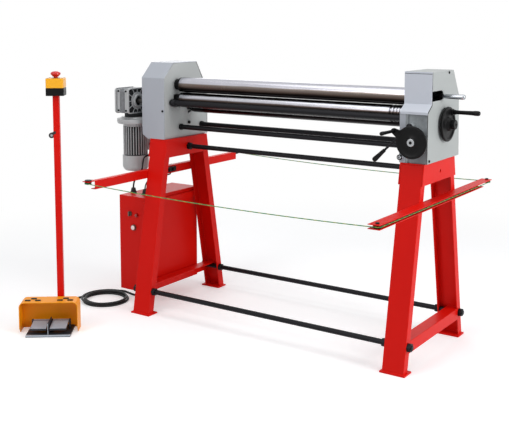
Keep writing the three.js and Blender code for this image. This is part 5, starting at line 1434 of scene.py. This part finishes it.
# Safety rope arms
# Two folded red arms along the sides carry a pulley at each end. The covered rope runs round
# all four and pulls the trip switch on the left arm's outer side.
ARM_TOP = 0.718
PULLEYS = ("left_front_pulley", "left_rear_pulley", "right_front_pulley", "right_rear_pulley")
bolt_spots = [box_middle(name) for name in PULLEYS]
for node in ("left_arm", "right_arm"):
    shape = cad_copy(node)
    for each in shape.faces:
        middle = each.calc_center_median()
        at_bolt = min((middle - spot).xy.length for spot in bolt_spots) < 0.0095
        if at_bolt and not ARM_TOP - 0.0035 <= middle.z <= ARM_TOP + 0.0003:
            each.material_index = 1
    piece(node + "_folded", shape, [red_paint, black_bar], [node], bevel=0.0008, angle=20,
          clamp=False)
caps = bmesh.new()
for spot in bolt_spots[:2]:
    turned(caps, past(ARM_TOP, (0.2, 16.5), (3, 17), (5.5, 15.5), (6, 8.5), (0.2, 8.5)), "z", spot,
           48, ring=True)
piece("pulley_caps", caps, [wheel_black], angle=35)
for spot, name in zip(bolt_spots, PULLEYS):
    low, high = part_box(name)
    radius = (high.x - low.x) * 500
    shape = bmesh.new()
    groove = past(spot.z, *((0.7 * k - 2.8, radius - 0.5 - 3.6 * math.sin(math.pi * k / 8))
                            for k in range(9)))
    turned(shape, [*past(low.z, (0, 4.6), (0, radius - 4), (0.6, radius - 1), (1.4, radius)),
                   *groove, *past(high.z, (-1.4, radius), (-0.6, radius - 1), (0, radius - 4),
                                  (0, 4.6))], "z", spot, 64, ring=True)
    piece(name + "_turned", shape, [wheel_black], [name], angle=35)
softened("trip_switch", [wheel_black], bevel=0.0015, angle=25)
WEB_FACE = -750.2
NUT_BASE = -741
backing = bmesh.new()
block(backing, at(WEB_FACE, -52, 685), at(NUT_BASE, 24, 711))
for nut_y in (-36, -2):
    turned(backing, past(at(NUT_BASE, 0, 0).x, (-1, 0), (-1, 8.5), (4, 8.5), (8, 5.5), (9, 0)),
           "x", at(0, nut_y, 696), 24)
piece("trip_switch_backing", backing, [wheel_black], bevel=0.0015)

ROPE_RADIUS = 0.002
ROPE_SIDES = 14
ROPE_WRAP = 0.0158
ROPE_SAG = 0.014
ROPE_TWIST = 0.045
YELLOW_SHARE = 0.22
STRANDS = 7
rope_cover, tree, shader, spot = finish("rope_cover", "rope_cover")
laid = place(tree, "ShaderNodeUVMap", uv_map="lay")
split = place(tree, "ShaderNodeSeparateXYZ", {"Vector": laid.outputs["UV"]}).outputs
phase = calc(tree, "ADD", calc(tree, "MULTIPLY", split["Y"], 1 / ROPE_TWIST), split["X"])
stripe = calc(tree, "LESS_THAN", calc(tree, "FRACT", phase), YELLOW_SHARE)
green = mixed(tree, noise(tree, spot, 300, 3), linear("1f7a3c"), linear("2f9350"))
feed(tree, shader, {"Base Color": mixed(tree, stripe, green, linear("b3ad3c")),
                    "Roughness": 0.5})
strand = calc(tree, "MULTIPLY", calc(tree, "MULTIPLY", phase, STRANDS), 2 * math.pi)
raise_surface(tree, shader, calc(tree, "SINE", strand), 0.0002)


def wrap(pulley, start):
    """The rope's quarter turn round a pulley."""
    angles = [math.radians(start + 90 * k / 12) for k in range(13)]
    return [pulley + Vector((math.cos(t), math.sin(t), 0)) * ROPE_WRAP for t in angles]


def hanging(start, stop, steps=40):
    """A long stretch with its sag."""
    shares = [k / steps for k in range(1, steps)]
    return [start.lerp(stop, share) - Vector((0, 0, 4 * ROPE_SAG * share * (1 - share)))
            for share in shares]


front_left = wrap(bolt_spots[0], 180)
front_right = wrap(bolt_spots[2], 270)
rear_right = wrap(bolt_spots[3], 0)
rear_left = wrap(bolt_spots[1], 90)
trip_low, trip_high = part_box("trip_switch")
rope_ends = [Vector((bolt_spots[0].x - ROPE_WRAP, y, bolt_spots[0].z))
             for y in (trip_low.y - PLATE_GAP, trip_high.y + PLATE_GAP)]
rope_line = [rope_ends[0], *front_left, *hanging(front_left[-1], front_right[0]), *front_right,
             *rear_right, *hanging(rear_right[-1], rear_left[0]), *rear_left, rope_ends[1]]
rope = bmesh.new()
lay = rope.loops.layers.uv.new("lay")
rings, distances, run = [], [], 0
for k, spot_on in enumerate(rope_line):
    before = rope_line[max(k - 1, 0)]
    after = rope_line[min(k + 1, len(rope_line) - 1)]
    run += (spot_on - before).length
    distances.append(run)
    heading = (after - before).normalized()
    side = heading.cross(Vector((0, 0, 1))).normalized()
    over = side.cross(heading)
    rings.append([rope.verts.new(spot_on + side * ROPE_RADIUS * math.cos(t)
                                 + over * ROPE_RADIUS * math.sin(t))
                  for t in (2 * math.pi * n / ROPE_SIDES for n in range(ROPE_SIDES))])
for k, (near, far) in enumerate(zip(rings, rings[1:])):
    for n in range(ROPE_SIDES):
        m = (n + 1) % ROPE_SIDES
        face = rope.faces.new((near[n], near[m], far[m], far[n]))
        corners = ((n, k), (n + 1, k), (n + 1, k + 1), (n, k + 1))
        for corner, (across_by, along_by) in zip(face.loops, corners):
            corner[lay].uv = (across_by / ROPE_SIDES, distances[along_by])
rope.faces.new(reversed(rings[0]))
rope.faces.new(rings[-1])
bmesh.ops.recalc_face_normals(rope, faces=rope.faces)
piece("safety_rope_laid", rope, [rope_cover], ["safety_rope"], angle=50)


# Pedal station
# An orange sheet hood over two aluminium pedals on a ribbed base plate. A square red post behind
# it carries the stop button.
orange_paint = coated("orange_paint", "orange_paint", "fca00c", 0.42, grain_scale=420,
                      grain_depth=0.00004, cloud_scale=6, wear_and_highlight="f7b040", wear_and_highlight_amount=0.9, shine=0.22)
pedal_metal = coated("pedal_metal", "pedal_metal", "aeb6c0", 0.36, grain_scale=500,
                     grain_depth=0.00004, cloud_scale=14, cloud=0.4, gloss_spread=0.6,
                     metallic=0.35, wear_and_highlight="cfd3d8", shine=0.4)
dark_cast = coated("dark_cast", "pedal_metal", "2d3037", 0.5, grain_scale=260,
                   grain_depth=0.00025, cloud_scale=18, cloud=0.8, metallic=0.2, shine=0.3)
softened("pedal_hood", [orange_paint], bevel=0.0012, angle=25)
HOOD_TOP = 151
HOOD_LENGTH = 277
VENT_REACH = 7.5
VENT_END = 5.5
# Raised rims round the vents, black as painted shade of raised louvres.
vents = bmesh.new()
for x, y in ((62, 58), (38, 30), (86, 30)):
    for middle_x in (x, HOOD_LENGTH - x):
        rings = []
        for grow, height in ((1.4, -0.3), (1.4, 3.5), (-1.2, 3.5), (-1.2, -3.8)):
            turns = [(way, math.radians(start + 22.5 * k))
                     for way, start in ((1, -90), (-1, 90)) for k in range(9)]
            rings.append([vents.verts.new(at_station(
                middle_x + way * VENT_REACH + (VENT_END + grow) * math.cos(angle),
                y + (VENT_END + grow) * math.sin(angle), HOOD_TOP + height))
                for way, angle in turns])
        for near, far in zip(rings, rings[1:]):
            skirt(vents, near, far)
bmesh.ops.recalc_face_normals(vents, faces=vents.faces)
piece("vent_rims", vents, [dark_rubber], angle=35)
BASE_TOP = 0.010
BASE_EDGE = 0.0035
BASE_FRONT = -56
PALE_STRIP = 11
# A pale strip is painted along the front of the base's top; the rest of the base is dark.
base = cad_copy("pedal_base")
strip_end = at_station(0, BASE_FRONT + PALE_STRIP, 0)
cut(base, strip_end, hood_way)
cut(base, (0, 0, BASE_EDGE), UP)
for each in base.faces:
    middle = each.calc_center_median()
    on_strip = ((middle - strip_end).dot(hood_way) < 0
                and BASE_EDGE < middle.z <= BASE_TOP + 0.001)
    each.material_index = int(not on_strip)
piece("pedal_base_cast", base, [pedal_metal, dark_cast], ["pedal_base"], bevel=0.0008,
      clamp=False)
divider = bmesh.new()
block(divider, (-1.2, 0, 11), (1.2, 1.2, 64))
for corner in divider.verts:
    corner.co = at_station(144.5 + corner.co.x, -51.4 + corner.co.y, corner.co.z)
piece("divider_edge", divider, [pedal_metal])

floor_ribs = copies_tree("floor_ribs", lambda tree, given: bar_of(tree, given["Size"]),
                         {"Size": "v", "Turn": "v"})
PEDAL_HINGE = (48, 46)
PEDAL_FALL = (98, 10)
PEDAL_WIDE = 76
RIB_STAND = 4.7
TREAD_RIBS = 12
PLATE_RIBS = 4
pedal_length = math.hypot(*PEDAL_FALL)
pedal_tilt = math.atan2(PEDAL_FALL[1], PEDAL_FALL[0])
for node, start in (("left_pedal", 60.5), ("right_pedal", 152.5)):
    pad = cad_copy(node)
    for each in pad.faces:
        each.material_index = int(each.normal.z < 0.7)
    piece(node + "_cast", pad, [pedal_metal, dark_cast], [node], bevel=0.001)
    seats = []
    for k in range(TREAD_RIBS):
        back = 12 + (pedal_length - 16) * k / (TREAD_RIBS - 1)
        y = PEDAL_HINGE[0] - back * math.cos(pedal_tilt) - RIB_STAND * math.sin(pedal_tilt)
        z = PEDAL_HINGE[1] - back * math.sin(pedal_tilt) + RIB_STAND * math.cos(pedal_tilt)
        seats.append((at_station(start + PEDAL_WIDE / 2, y, z), UP))
    settle(node + "_ribs", floor_ribs, seats, pedal_metal,
           {"Size": (0.072, 0.0028, 0.0012), "Turn": (pedal_tilt, 0, STATION_YAW)}, node, 0.0004)
settle("base_ribs", floor_ribs,
       [(at_station(144.5, BASE_FRONT + PALE_STRIP + 3 + 5.5 * k, 10.2), UP)
        for k in range(PLATE_RIBS)], dark_cast,
       {"Size": (0.203, 0.0026, 0.0012), "Turn": (0, 0, STATION_YAW)}, bevel=0.0004)

softened("estop_post", [red_paint], bevel=0.002, angle=30, segments=3)
clip = bmesh.new()
clip_spot = at_station(157, 106, 936)
turned(clip, past(0, (-5, 6.2), (-5, 12), (-4, 13.5), (4, 13.5), (5, 12), (5, 6.2)), hood_way,
       clip_spot, 40, ring=True)
turned(clip, past(0, (-4, 6), (5, 6)), hood_way, clip_spot, 24, 1)
slab(clip, [at_station(*p) for p in ((155, 100, 949), (178, 98, 958), (178, 98, 946),
                                     (166, 100, 938))], hood_way, -0.001, 0.002)
piece("cable_clip", clip, [dark_rubber, bright_steel], angle=35)


# Stop button
# A moulded box on top of the post: black base, yellow lid with four screws, red mushroom button.
yellow_plastic = coated("yellow_plastic", "yellow_plastic", "fab113", 0.3, grain_scale=500,
                        cloud_scale=8, cloud=0.1)
red_plastic = coated("red_plastic", "red_plastic", "c9201c", 0.28, grain_scale=500,
                     cloud_scale=10, cloud=0.15)
box_low, box_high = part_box("estop_box")
lid_low = box_low.z + 0.036
stop_axis = box_middle("estop_button")
BOX_HALF = 0.0425


def by_stop(x, y, z=0):
    """A point given in metres from the button's axis, square to the pedal station."""
    cos, sin = math.cos(STATION_YAW), math.sin(STATION_YAW)
    return Vector((stop_axis.x + x * cos - y * sin, stop_axis.y + x * sin + y * cos, z))


stop_box = bmesh.new()
for size, low, high, corner, look in (
        (BOX_HALF, box_low.z, lid_low, 0.006, 1),
        (BOX_HALF - 0.0015, lid_low - 0.001, lid_low + 0.0015, 0.005, 1),
        (BOX_HALF - 0.0005, lid_low + 0.001, box_high.z, 0.006, 0)):
    outline = [by_stop(x, y) for x, y in rounded_square((-size, -size), (size, size), corner)]
    slab(stop_box, outline, UP, low, high, look)
turned(stop_box, past(box_high.z, (-1, 21.5), (1.8, 20.5)), "z", stop_axis, 48, 1)
piece("estop_box_moulded", stop_box, [yellow_plastic, wheel_black], ["estop_box"], bevel=0.002,
      angle=40, segments=3)
screws("estop_screws", [(by_stop(x, y, box_high.z - 0.001), UP) for x in (-0.034, 0.034)
                        for y in (-0.034, 0.034)], 0.0035, 0.002)
button_low, button_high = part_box("estop_button")
button = bmesh.new()
turned(button, [[button_low.z, 0.0098], *past(box_high.z, (7.5, 9.8), (7.8, 15)),
                *past(button_high.z, (-22, 16), (-19, 19), (-16, 22.2), (-14.5, 23.5), (-10, 23.5),
                      (-7.5, 22.8), (-5, 20.5), (-2.5, 16), (-0.8, 9.5), (0, 2))],
       "z", stop_axis, 64)
piece("estop_button_moulded", button, [red_plastic], ["estop_button"], angle=40)
